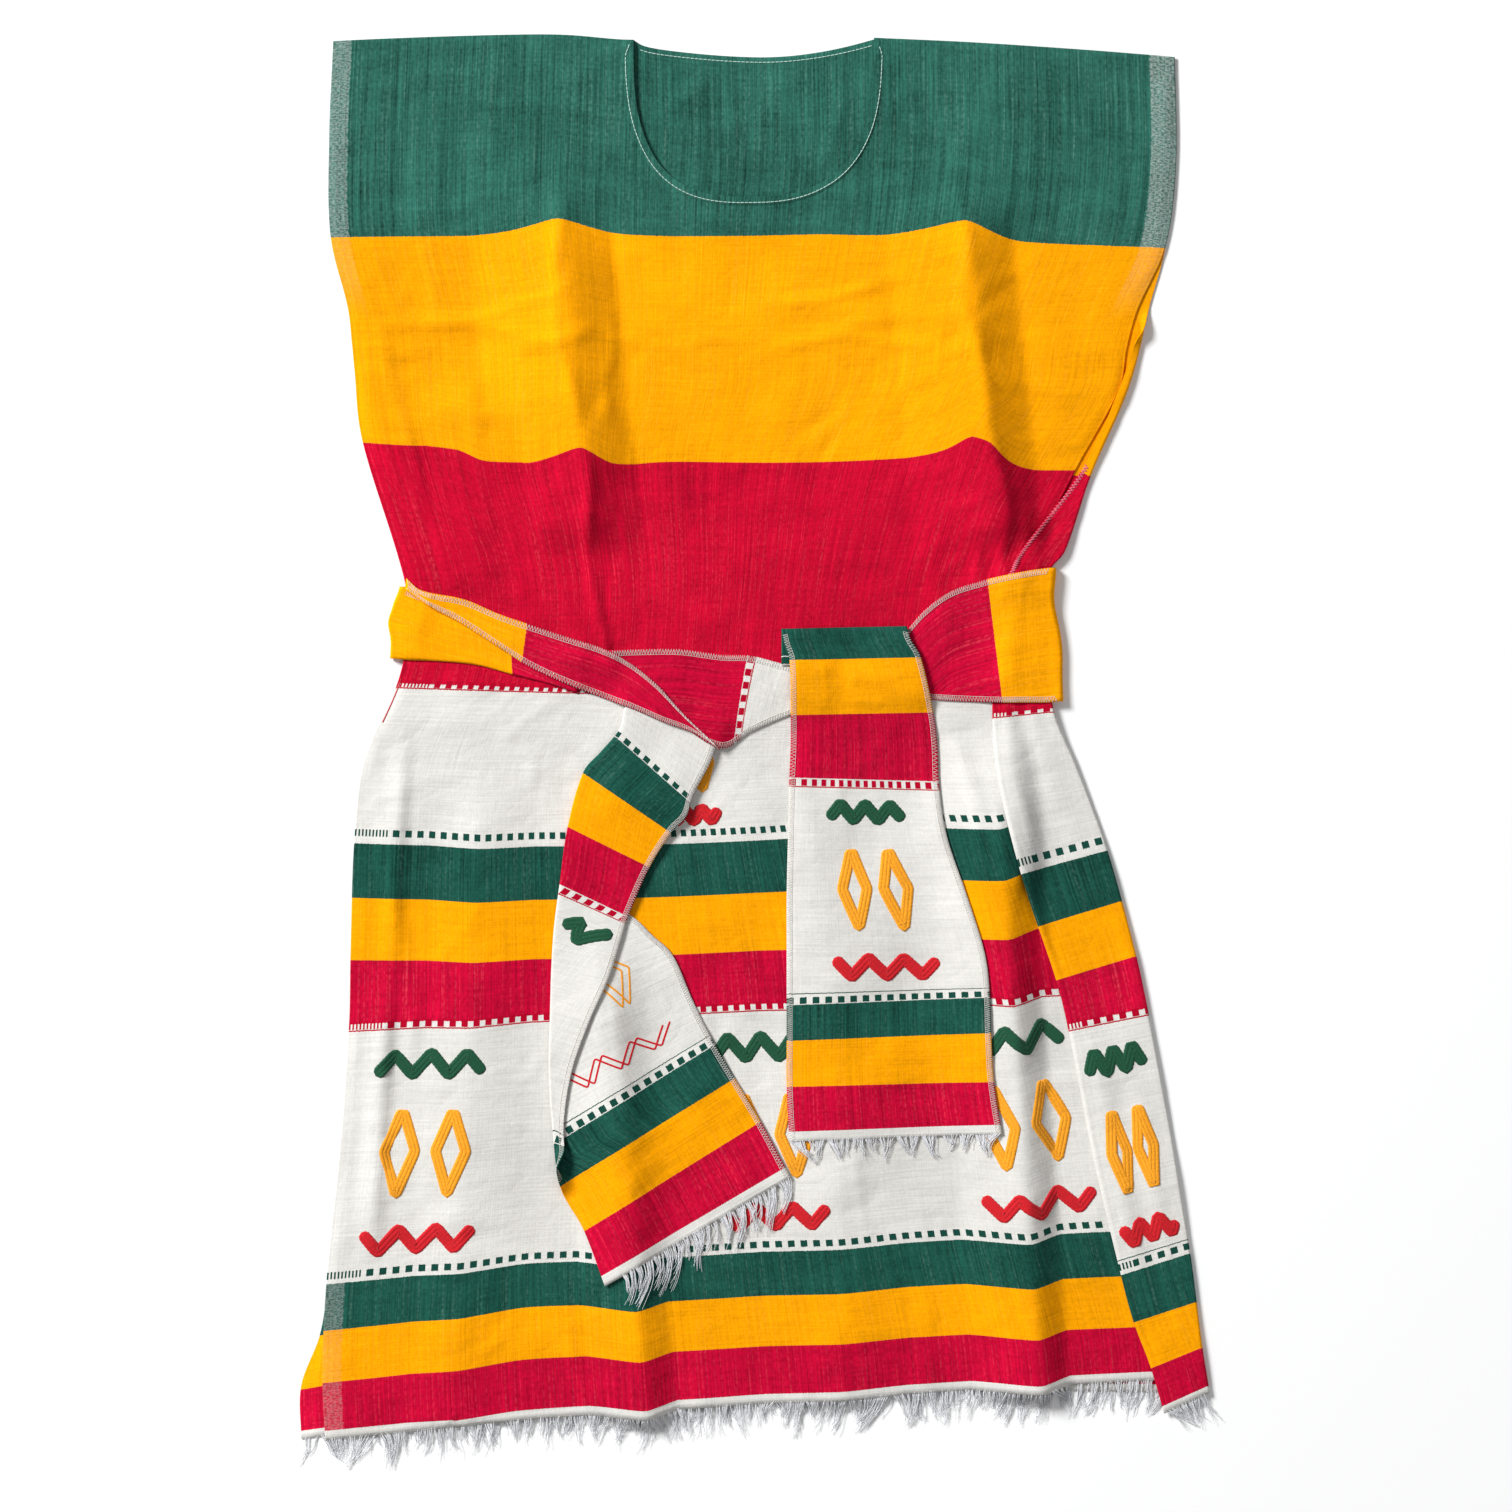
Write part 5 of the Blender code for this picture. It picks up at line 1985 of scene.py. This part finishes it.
def strands(
    surface: Surface,
    shares: Array,
    down: float,
    count: int,
    length: float,
    lean: float,
    ground: Callable[[Array, Array], Array],
    seed: int,
) -> list[Array]:
    """Loose warp ends that hang from a cut edge in small clumps.

    Args:
        surface: The cloth.
        shares: Shares across, from one end of the edge to the other.
        down: Where the edge lies along the cloth.
        count: How many ends hang there.
        length: The longest end.
        lean: How far their tips go aside for each millimetre that they hang.
        ground: Height of what they lie on.
        seed: Start of this edge's own chance.

    Returns:
        The points of each end.
    """
    chance = np.random.default_rng(seed)
    line = surface.lay(shares, np.full_like(shares, down))
    at = np.r_[0, np.cumsum(np.linalg.norm(np.diff(line[:, :2], axis=0), axis=1))]
    base = np.sort(chance.uniform(0, at[-1], count))
    clumps = np.sort(chance.uniform(0, at[-1], max(3, int(at[-1] / CLUMP_SPACING))))
    nearest = clumps[np.abs(base[:, None] - clumps[None, :]).argmin(axis=1)]
    pull = (nearest - base) * chance.uniform(0.5, 1.1, count)
    clump_lean = lean + 0.24 * np.sin(nearest * 1.7) + chance.normal(0, 0.07, count)
    clump_length = length * (0.72 + 0.2 * np.sin(nearest * 0.61 + seed)) * chance.uniform(0.55, 1.1, count)
    clump_length = np.minimum(clump_length, length)
    across_run = np.gradient(line[:, :2], axis=0)
    across_run /= np.linalg.norm(across_run, axis=1, keepdims=True) + 1e-9
    made = []
    for n in range(count):
        root = np.array([np.interp(base[n], at, line[:, k]) for k in range(3)])
        aside = np.array([np.interp(base[n], at, across_run[:, k]) for k in range(2)])
        out = np.array((aside[1], -aside[0]))
        share = np.linspace(0, 1, FRINGE_POINTS)
        reach = clump_length[n] * share - 1.2
        bow = pull[n] * share + clump_lean[n] * clump_length[n] * share**2
        bow = bow + 0.9 * np.sin(share * 8 + nearest[n] + chance.uniform(0, 1.5)) * share
        place = root[:2] + out * reach[:, None] + aside * bow[:, None]
        floor = ground(place[:, 0], place[:, 1]) + chance.uniform(0, 0.9)
        height = mixed(root[2] + chance.uniform(-0.1, 0.25), floor, eased(reach / 9))
        made.append(np.c_[place, height])
    return made


@dataclass
class Looks:
    """The materials that the pieces share."""

    front: bpy.types.Material
    back: bpy.types.Material
    sash: bpy.types.Material
    yarns: dict[Yarn, bpy.types.Material]

    # How long a stretch of cloth the tables of bands cover, in millimetres
    DRESS_LENGTH = 1040
    SASH_LENGTH = 1000

    @classmethod
    def make(cls) -> "Looks":
        """Builds them all.

        Returns:
            The materials.
        """
        line = SquareRow(903.2, 0.4, Yarn.DEEP_GREEN, False)
        edges = {"selvedge": 14.5, "selvedge_end": 212, "low_selvedge": 908, "wide": FRONT_WIDTH}
        front = WovenFinish("front_weave", DRESS_BANDS, DRESS_ROWS, cls.DRESS_LENGTH, **edges)
        back = WovenFinish("back_weave", DRESS_BANDS, (*DRESS_ROWS, line), cls.DRESS_LENGTH, bar_zone=11.0)
        sash = WovenFinish("sash_weave", SASH_BANDS, SASH_ROWS, cls.SASH_LENGTH, bar_zone=0.0)
        yarns = {yarn: YarnFinish("yarn_" + yarn.name.lower(), yarn).make() for yarn in Yarn}
        return cls(front.make(), back.make(), sash.make(), yarns)


def spaced(first: float, last: float, step: float) -> Array:
    """Even steps of about a given size, ends included."""
    return np.linspace(first, last, max(2, round(abs(last - first) / step) + 1))


def joined_steps(*runs: Array) -> Array:
    """Runs of steps that share the step where they meet."""
    return np.concatenate([runs[0], *(run[1:] for run in runs[1:])])


@dataclass(frozen=True)
class Level:
    """Flat ground at one height."""

    up: float

    def height(self, x: Array, y: Array) -> Array:
        """The same height everywhere."""
        return np.full_like(x, self.up)


FIGURE_YARNS = {
    Yarn.STITCH_GREEN: (Figure.TOP,),
    Yarn.STITCH_YELLOW: (Figure.LEFT_DIAMOND, Figure.RIGHT_DIAMOND),
    Yarn.STITCH_RED: (Figure.BOTTOM,),
}
STROKE_WIDTHS = {Yarn.STITCH_GREEN: 9.5, Yarn.STITCH_YELLOW: 8.5, Yarn.STITCH_RED: 9.5}
STROKE_HEIGHT = 1.1


@dataclass
class Dress:
    """The body of the dress: front, back, neck stitches, embroidery and hem fringes."""

    looks: Looks
    front: FrontCloth = field(default_factory=FrontCloth)
    back: BackCloth = field(default_factory=BackCloth)
    pieces: dict[str, bpy.types.Object] = field(default_factory=dict)

    GRID = 3.8
    BACK_GRID = 4.6
    # Close steps at the neckline and at the woven edges, where the cloth turns down
    NECK_STEPS = (0, 1.2, 2.6, 4.6, 7)
    EDGE_SHARES = (0, 0.0016, 0.004, 0.008, 0.013)
    # Shares across the back, and the number of points from each to the next
    BACK_STOPS = ((0, 12), (0.28, 54), (0.525, 10), (0.72, 12), (0.8, 13), (0.9, 18), (1, 0))
    # Length of the neck's stitches, and the gap between them
    NECK_STITCH = (2.6, 0.6)
    # How far they lie from the edge, how much further near the shoulder, and at which depths that ends
    STITCH_OFF = 4.3
    STITCH_SPREAD = 2.0
    SPREAD_DEPTH = 110
    START_DEPTH = 14
    # Where the side seam and the turned margin's seam start and end, down from the shoulder
    SIDE_SEAM = (484, 516)
    MARGIN_SEAM = (312, 398)
    # Figures: millimetres from the side, millimetres down, and how wide and long against the usual one
    FRONT_FIGURES = ((66, 824, 1.0, 1.0), (348, 824, 1.0, 1.0), (556, 824, 1.0, 1.0), (312, 545, 0.62, 0.62))
    MARGIN_FIGURE = (30, 824, 0.5, 1.0)
    BACK_FIGURES = ((200, 824, 1.0, 1.0), (420, 824, 1.0, 1.0), (600, 824, 1.0, 1.0), (400, 545, 0.62, 0.62))

    def cloths(self) -> None:
        """Lays both panels."""
        edge = np.array(self.EDGE_SHARES)
        half = joined_steps(edge, np.linspace(edge[-1], SHOULDER_SHARE, 52))
        middle = np.linspace(SHOULDER_SHARE, 1 - SHOULDER_SHARE, 60)
        columns = joined_steps(half, middle, 1 - half[::-1])
        neck = np.array(self.NECK_STEPS)
        yoke, skirt = spaced(neck[-1], YOKE_DOWN, self.GRID), spaced(YOKE_DOWN, CUT_LENGTH, self.GRID)
        front = ClothPiece("front", "front_cloth", self.looks.front, ("front_panel",))
        front.surface, front.across, front.down = self.front, columns, joined_steps(neck, yoke, skirt)
        front.cut = self.front.cut
        self.pieces["front"] = front.build()
        stops = self.BACK_STOPS
        columns = joined_steps(*(np.linspace(a[0], b[0], a[1]) for a, b in zip(stops, stops[1:])))
        back = ClothPiece("back", "back_cloth", self.looks.back, ("back_panel",))
        back.surface, back.across, back.down = self.back, columns, spaced(0, CUT_LENGTH, self.BACK_GRID)
        self.pieces["back"] = back.build()

    def stitches(self) -> None:
        """Sews the topstitched neckline and the seam at the left side."""
        aside, deep = self.front.neck_point(np.linspace(0.0, 1.0, 400))
        along = np.stack((np.gradient(aside), np.gradient(deep)), axis=-1)
        along /= np.linalg.norm(along, axis=1, keepdims=True) + 1e-9
        off = self.STITCH_OFF + self.STITCH_SPREAD * np.clip(1 - deep / self.SPREAD_DEPTH, 0, 1)
        off = off * (0.4 + 0.6 * eased(deep / self.START_DEPTH))
        kept = deep > 1.5
        x, down = (aside - along[:, 1] * off)[kept], (deep + along[:, 0] * off)[kept]
        across = 0.5 + x / (FRONT[0].right_x - FRONT[0].left_x)
        front = self.front.raised(across, down, CLOTH_WALL / 2 + 0.3)
        across = np.linspace(0.24, 0.56, 200)
        back = self.back.raised(across, np.full(200, 4.2), CLOTH_WALL / 2 + 0.25)
        back = back[np.abs(back[:, 0]) < NECK_HALF_WIDTH - 2]
        lines = dashes(front, *self.NECK_STITCH) + dashes(back, *self.NECK_STITCH)
        neck = Threads("neck_stitches", "front_cloth", self.looks.yarns[Yarn.SEAM_WHITE], radius=0.34)
        self.pieces["neck_stitches"] = neck.build(lines)
        down = np.linspace(*self.SIDE_SEAM, 60)
        seam = self.front.raised(self.front.share_at(np.full(60, 2.0), down), down, CLOTH_WALL / 2 + 0.05)
        red = Threads("side_seam", "front_cloth", self.looks.yarns[Yarn.RED], radius=0.5)
        self.pieces["side_seam"] = red.build([seam])
        edge = zigzag(self.back, 1, *self.MARGIN_SEAM, width=3.8, pitch=2.0)
        pink = Threads("flap_seam", "back_cloth", self.looks.yarns[Yarn.SEAM_PINK], radius=0.42)
        self.pieces["flap_seam"] = pink.build([edge])

    def embroidery(self) -> None:
        """Works the figures on the white bands, in a layout of its own."""
        for yarn, figures in FIGURE_YARNS.items():
            strokes, under = [], []
            for figure in figures:
                for place in self.FRONT_FIGURES:
                    strokes += strokes_on(self.front, figure, *place)
                strokes += split_at(strokes_on(self.back, figure, *self.MARGIN_FIGURE), 0.91, 1.0)
                for place in self.BACK_FIGURES:
                    under += strokes_on(self.back, figure, *place)
            name = "embroidery_" + yarn.name.split("_")[1].lower()
            material, width = self.looks.yarns[yarn], STROKE_WIDTHS[yarn]
            stitched = Embroidery(name, "front_cloth", material, width, STROKE_HEIGHT)
            self.pieces[name] = stitched.build(strokes)
            flat = Embroidery("back_" + name, "back_cloth", material, width, 0.2, face=-1.0)
            self.pieces["back_" + name] = flat.build(under)

    def fringes(self) -> None:
        """Hangs the loose warp ends from both hems."""
        over_back, floor = Level(1.1).height, Level(0.4).height
        hems = {
            "front_fringe": (self.front, np.linspace(0.002, 0.968, 200), 680, 27.5, -0.1, over_back),
            "back_fringe": (self.back, np.linspace(0.002, 0.79, 200), 560, 26, -0.1, floor),
            "flap_fringe": (self.back, np.linspace(0.998, 0.905, 40), 70, 27, 0.1, over_back),
        }
        for seed, (name, (surface, shares, *rest, ground)) in enumerate(hems.items()):
            ends = strands(surface, shares, CUT_LENGTH, *rest, ground, seed)
            material = self.looks.yarns[Yarn.FRINGE_GREY]
            hung = Threads(name + "_threads", "fringe", material, (name,), radius=FRINGE_RADIUS, taper=True)
            self.pieces[name] = hung.build(ends)

    def build(self) -> None:
        """Makes the whole body."""
        self.cloths()
        self.stitches()
        self.embroidery()
        self.fringes()


@dataclass
class BackStretch(Surface):
    """The sash where it passes flat under the back."""

    LENGTH = 420
    WIDTH = 80

    def side(self, across: Array, down: Array) -> Array:
        """Distance from the upper edge."""
        return across * self.WIDTH + 0 * down

    def lay(self, across: Array, down: Array) -> Array:
        """Points of the stretch, from its left end to its right.

        Args:
            across: Shares across the cloth.
            down: Distances down or along it.

        Returns:
            Points in millimetres.
        """
        left, right = SASH_LEFT_WRAP[0], SASH_RIGHT_WRAP[0]
        share = down / self.LENGTH
        inset = SASH_UNDER + 6
        x0, x1 = (mixed(getattr(left, n), getattr(right, n), share) for n in ("upper_x", "lower_x"))
        y0, y1 = (mixed(getattr(left, n), getattr(right, n), share) for n in ("upper_y", "lower_y"))
        x = mixed(x0, x1, across) + inset * (1 - 2 * share)
        return joined(x, mixed(y0, y1, across), np.full_like(x, BACK_LEVEL))


@dataclass
class Sash:
    """The sash: round the waist, tied in front, with two tails that hang down."""

    looks: Looks
    pile: Pile
    front: bpy.types.Object
    surfaces: dict[str, Surface] = field(default_factory=dict)
    pieces: dict[str, bpy.types.Object] = field(default_factory=dict)

    GRID = 2.8
    WRAP_GRID = 3
    # Each overlocked edge: the stretch, 0 or 1 for which edge, and where the stitches start and end
    EDGES = (
        ("sash_right_wrap", 0, 606, 770),
        ("sash_right_wrap", 1, 606, 770),
        ("sash_left_wrap", 0, 666, 808),
        ("sash_left_fold", 0, 573, 807),
        ("sash_left_fold", 1, 573, 807),
        ("sash_middle", 0, 506, 660),
        ("sash_middle", 1, 506, 660),
        ("sash_right_tail", 0, 1, 407),
        ("sash_right_tail", 1, 1, 407),
        ("sash_left_tail", 0, 90, 488),
        ("sash_left_tail", 1, 1, 488),
    )
    OVERLOCK_RADIUS = 0.14
    # Width and length of each stretch before it was laid, in metres
    FLATS = {
        "sash_back": (0.1, 0.42),
        "sash_right_wrap": (0.09, 0.2),
        "sash_left_wrap": (0.05, 0.18),
        "sash_left_tail": (0.16, 0.49),
        "sash_middle": (0.05, 0.16),
        "sash_left_fold": (0.03, 0.26),
        "sash_right_tail": (0.15, 0.44),
    }
    # Where the figure's middle lies from the tails' sides and along both, and its size against the usual one
    RIGHT_FIGURE = (80, 209, 1.0, -1.0)
    LEFT_FIGURE = (92, 209, 1.0, -1.0)
    # How far an outline on the reverse lies from its stroke's middle
    OUTLINE = 3.0

    def lay(self, name: str, surface: Surface, across: Array, down: Array) -> None:
        """Lays one stretch on the pile.

        Args:
            name: The stretch's node.
            surface: Its cloth.
            across: Shares across the cloth.
            down: Distances down or along it.
        """
        cloth = ClothPiece(name + "_cloth", "sash_cloth", self.looks.sash, (name,), surface, across, down)
        made = cloth.build()
        self.surfaces[name] = surface
        self.pieces[name] = made
        self.pile.add(made)

    def cloths(self) -> None:
        """Lays the stretches in the order in which they lie on each other."""
        level = np.linspace(0, 1, 24)
        self.lay("sash_back", BackStretch(), np.linspace(0, 1, 8), spaced(0, BackStretch.LENGTH, 8))
        rows = SASH_RIGHT_WRAP
        wrap = Wrap(rows, Drape(self.pile, rows), bows=((0.24, -3.0), (0.62, 1.2)), out=1.0)
        down = joined_steps(spaced(605, 765, self.WRAP_GRID), np.linspace(765, 777, 16), spaced(777, 793, 4))
        self.lay("sash_right_wrap", wrap, np.linspace(0, 1, 34), down)
        rows = SASH_LEFT_WRAP
        wrap = Wrap(rows, Drape(self.pile, rows), bows=((0.5, 3.0), (0.0, -4.0)), out=-1.0)
        down = joined_steps(spaced(665, 805, self.WRAP_GRID), np.linspace(805, 816, 16), spaced(816, 832, 4))
        self.lay("sash_left_wrap", wrap, level, down)
        rows = SASH_LEFT_TAIL
        turned = joined_steps(np.linspace(0, 0.42, 22), np.linspace(0.42, 0.58, 9), np.linspace(0.58, 1, 46))
        tail = TurnedTail(rows, Drape(self.pile, rows))
        self.lay("sash_left_tail", tail, turned, spaced(0, 490, self.GRID))
        rows = SASH_MIDDLE
        strip = Strip(rows, Drape(self.pile, rows), tilt=-13.0)
        self.lay("sash_middle", strip, level, spaced(505, 662, self.GRID))
        rows = SASH_LEFT_FOLD
        self.lay("sash_left_fold", Strip(rows, Drape(self.pile, rows)), level, spaced(572, 808, self.GRID))
        rows = SASH_RIGHT_TAIL
        down = joined_steps(spaced(0, 408, self.GRID), np.linspace(408, 411, 10), spaced(411, 437, 3))
        self.lay("sash_right_tail", HungTail(rows, Drape(self.pile, rows)), np.linspace(0, 1, 48), down)

    def overlock(self) -> None:
        """Sews the edges of the sash."""
        lines = [zigzag(self.surfaces[name], edge, start, end) for name, edge, start, end in self.EDGES]
        lines += [line[STITCH_STEPS // 2 :: STITCH_STEPS] for line in lines]
        material = self.looks.yarns[Yarn.OVERLOCK]
        made = Threads("sash_overlock", "sash_cloth", material, radius=self.OVERLOCK_RADIUS)
        self.pieces["overlock"] = made.build(lines)

    def embroidery(self) -> None:
        """Works the figure on the white of each tail."""
        right, left = self.surfaces["sash_right_tail"], self.surfaces["sash_left_tail"]
        for yarn, figures in FIGURE_YARNS.items():
            strokes, outlines = [], []
            for figure in figures:
                strokes += strokes_on(right, figure, *self.RIGHT_FIGURE)
                side, *rest = self.LEFT_FIGURE
                strokes += split_at(strokes_on(left, figure, side, *rest), 0.0, left.START - 0.02)
                for off in (-self.OUTLINE, self.OUTLINE):
                    outline = strokes_on(left, figure, side + off, *rest)
                    outlines += split_at(outline, left.END + 0.02, 1.0)
            colour = yarn.name.split("_")[1].lower()
            material = self.looks.yarns[yarn]
            name = "sash_embroidery_" + colour
            face = Embroidery(name, "sash_cloth", material, STROKE_WIDTHS[yarn], STROKE_HEIGHT)
            self.pieces[name] = face.build(strokes)
            name = "sash_reverse_" + colour
            reverse = Embroidery(name, "sash_cloth", material, width=1.5, height=0.3)
            self.pieces[name] = reverse.build(outlines)

    def fringes(self) -> None:
        """Hangs the loose warp ends from both tails."""
        for seed, side in enumerate(("right", "left"), start=7):
            surface = self.surfaces[f"sash_{side}_tail"]
            count, length, lean = (240, 19, 0.1) if side == "right" else (260, 31, -0.55)
            shares = np.linspace(1, 0, 60)[::-1] if side == "right" else np.linspace(0.58, 1, 60)
            ends = strands(surface, shares, 0.0, count, length, lean, surface.drape.height, seed)
            material = self.looks.yarns[Yarn.FRINGE_GREY]
            name = side + "_tail_fringe"
            hung = Threads(name + "_threads", "fringe", material, (name,), radius=FRINGE_RADIUS, taper=True)
            self.pieces[name] = hung.build(ends)

    def build(self) -> None:
        """Makes the whole sash."""
        self.cloths()
        self.overlock()
        self.embroidery()
        self.fringes()


@dataclass
class Studio:
    """Camera straight above, soft light from the upper left, and a pale floor."""

    frame_width: float = 1.134
    lens: float = 150.0
    sky: float = 0.27

    # The lamps: name, place and width in metres, and power in watts
    LAMPS = (("key", (-5.2, 3.8, 4.1), 2.6, 930), ("fill", (1.8, -1.2, 3.0), 2.4, 14))
    FLOOR_LEVEL = -0.0002

    def floor(self) -> None:
        """Lays the floor."""
        made = bmesh.new()
        bmesh.ops.create_grid(made, x_segments=1, y_segments=1, size=4.0)
        mesh = bpy.data.meshes.new("floor")
        made.to_mesh(mesh)
        made.free()
        material = bpy.data.materials.new("pale_floor")
        material.use_nodes = True
        shader = material.node_tree.nodes["Principled BSDF"]
        shader.inputs["Base Color"].default_value = (0.93, 0.93, 0.93, 1)
        shader.inputs["Roughness"].default_value = 0.9
        mesh.materials.append(material)
        floor = bpy.data.objects.new("floor", mesh)
        floor.location.z = self.FLOOR_LEVEL
        bpy.context.scene.collection.objects.link(floor)

    def light(self, name: str, place: tuple[float, float, float], size: float, power: float) -> None:
        """Hangs one soft light that faces the dress.

        Args:
            name: The lamp's name.
            place: Where it hangs, in metres.
            size: How wide it is.
            power: Its power in watts.
        """
        data = bpy.data.lights.new(name, "AREA")
        data.shape = "DISK"
        data.size = size
        data.energy = power
        lamp = bpy.data.objects.new(name, data)
        lamp.location = place
        lamp.rotation_euler = (-Vector(place)).to_track_quat("-Z", "Y").to_euler()
        bpy.context.scene.collection.objects.link(lamp)

    def camera(self) -> None:
        """Sets the camera straight above the middle of the dress."""
        data = bpy.data.cameras.new("camera")
        data.lens = self.lens
        data.sensor_width = 36.0
        holder = bpy.data.objects.new("camera", data)
        height = self.frame_width * self.lens / data.sensor_width
        holder.location = (PLACE[0] * MM, PLACE[1] * MM, height)
        bpy.context.scene.collection.objects.link(holder)
        bpy.context.scene.camera = holder

    def build(self) -> None:
        """Sets the whole studio."""
        self.floor()
        for lamp in self.LAMPS:
            self.light(*lamp)
        bpy.context.scene.view_settings.view_transform = "Standard"
        world = bpy.data.worlds.new("sky")
        world.use_nodes = True
        world.node_tree.nodes["Background"].inputs["Color"].default_value = (0.98, 0.99, 1.0, 1)
        world.node_tree.nodes["Background"].inputs["Strength"].default_value = self.sky
        bpy.context.scene.world = world
        self.camera()


def main() -> None:
    """Builds the dress, its sash and the studio."""
    looks = Looks.make()
    dress = Dress(looks)
    dress.build()
    pile = Pile()
    for name in ("back", "front", "embroidery_green", "embroidery_yellow", "embroidery_red"):
        pile.add(dress.pieces[name])
    sash = Sash(looks, pile, dress.pieces["front"])
    sash.build()
    Studio().build()
    for name, piece in (*dress.pieces.items(), *sash.pieces.items()):
        LOG.info("%s is %s", name, piece.name)


if __name__ == "__main__":
    logging.basicConfig(level=logging.INFO, format="%(name)s: %(message)s")
    main()
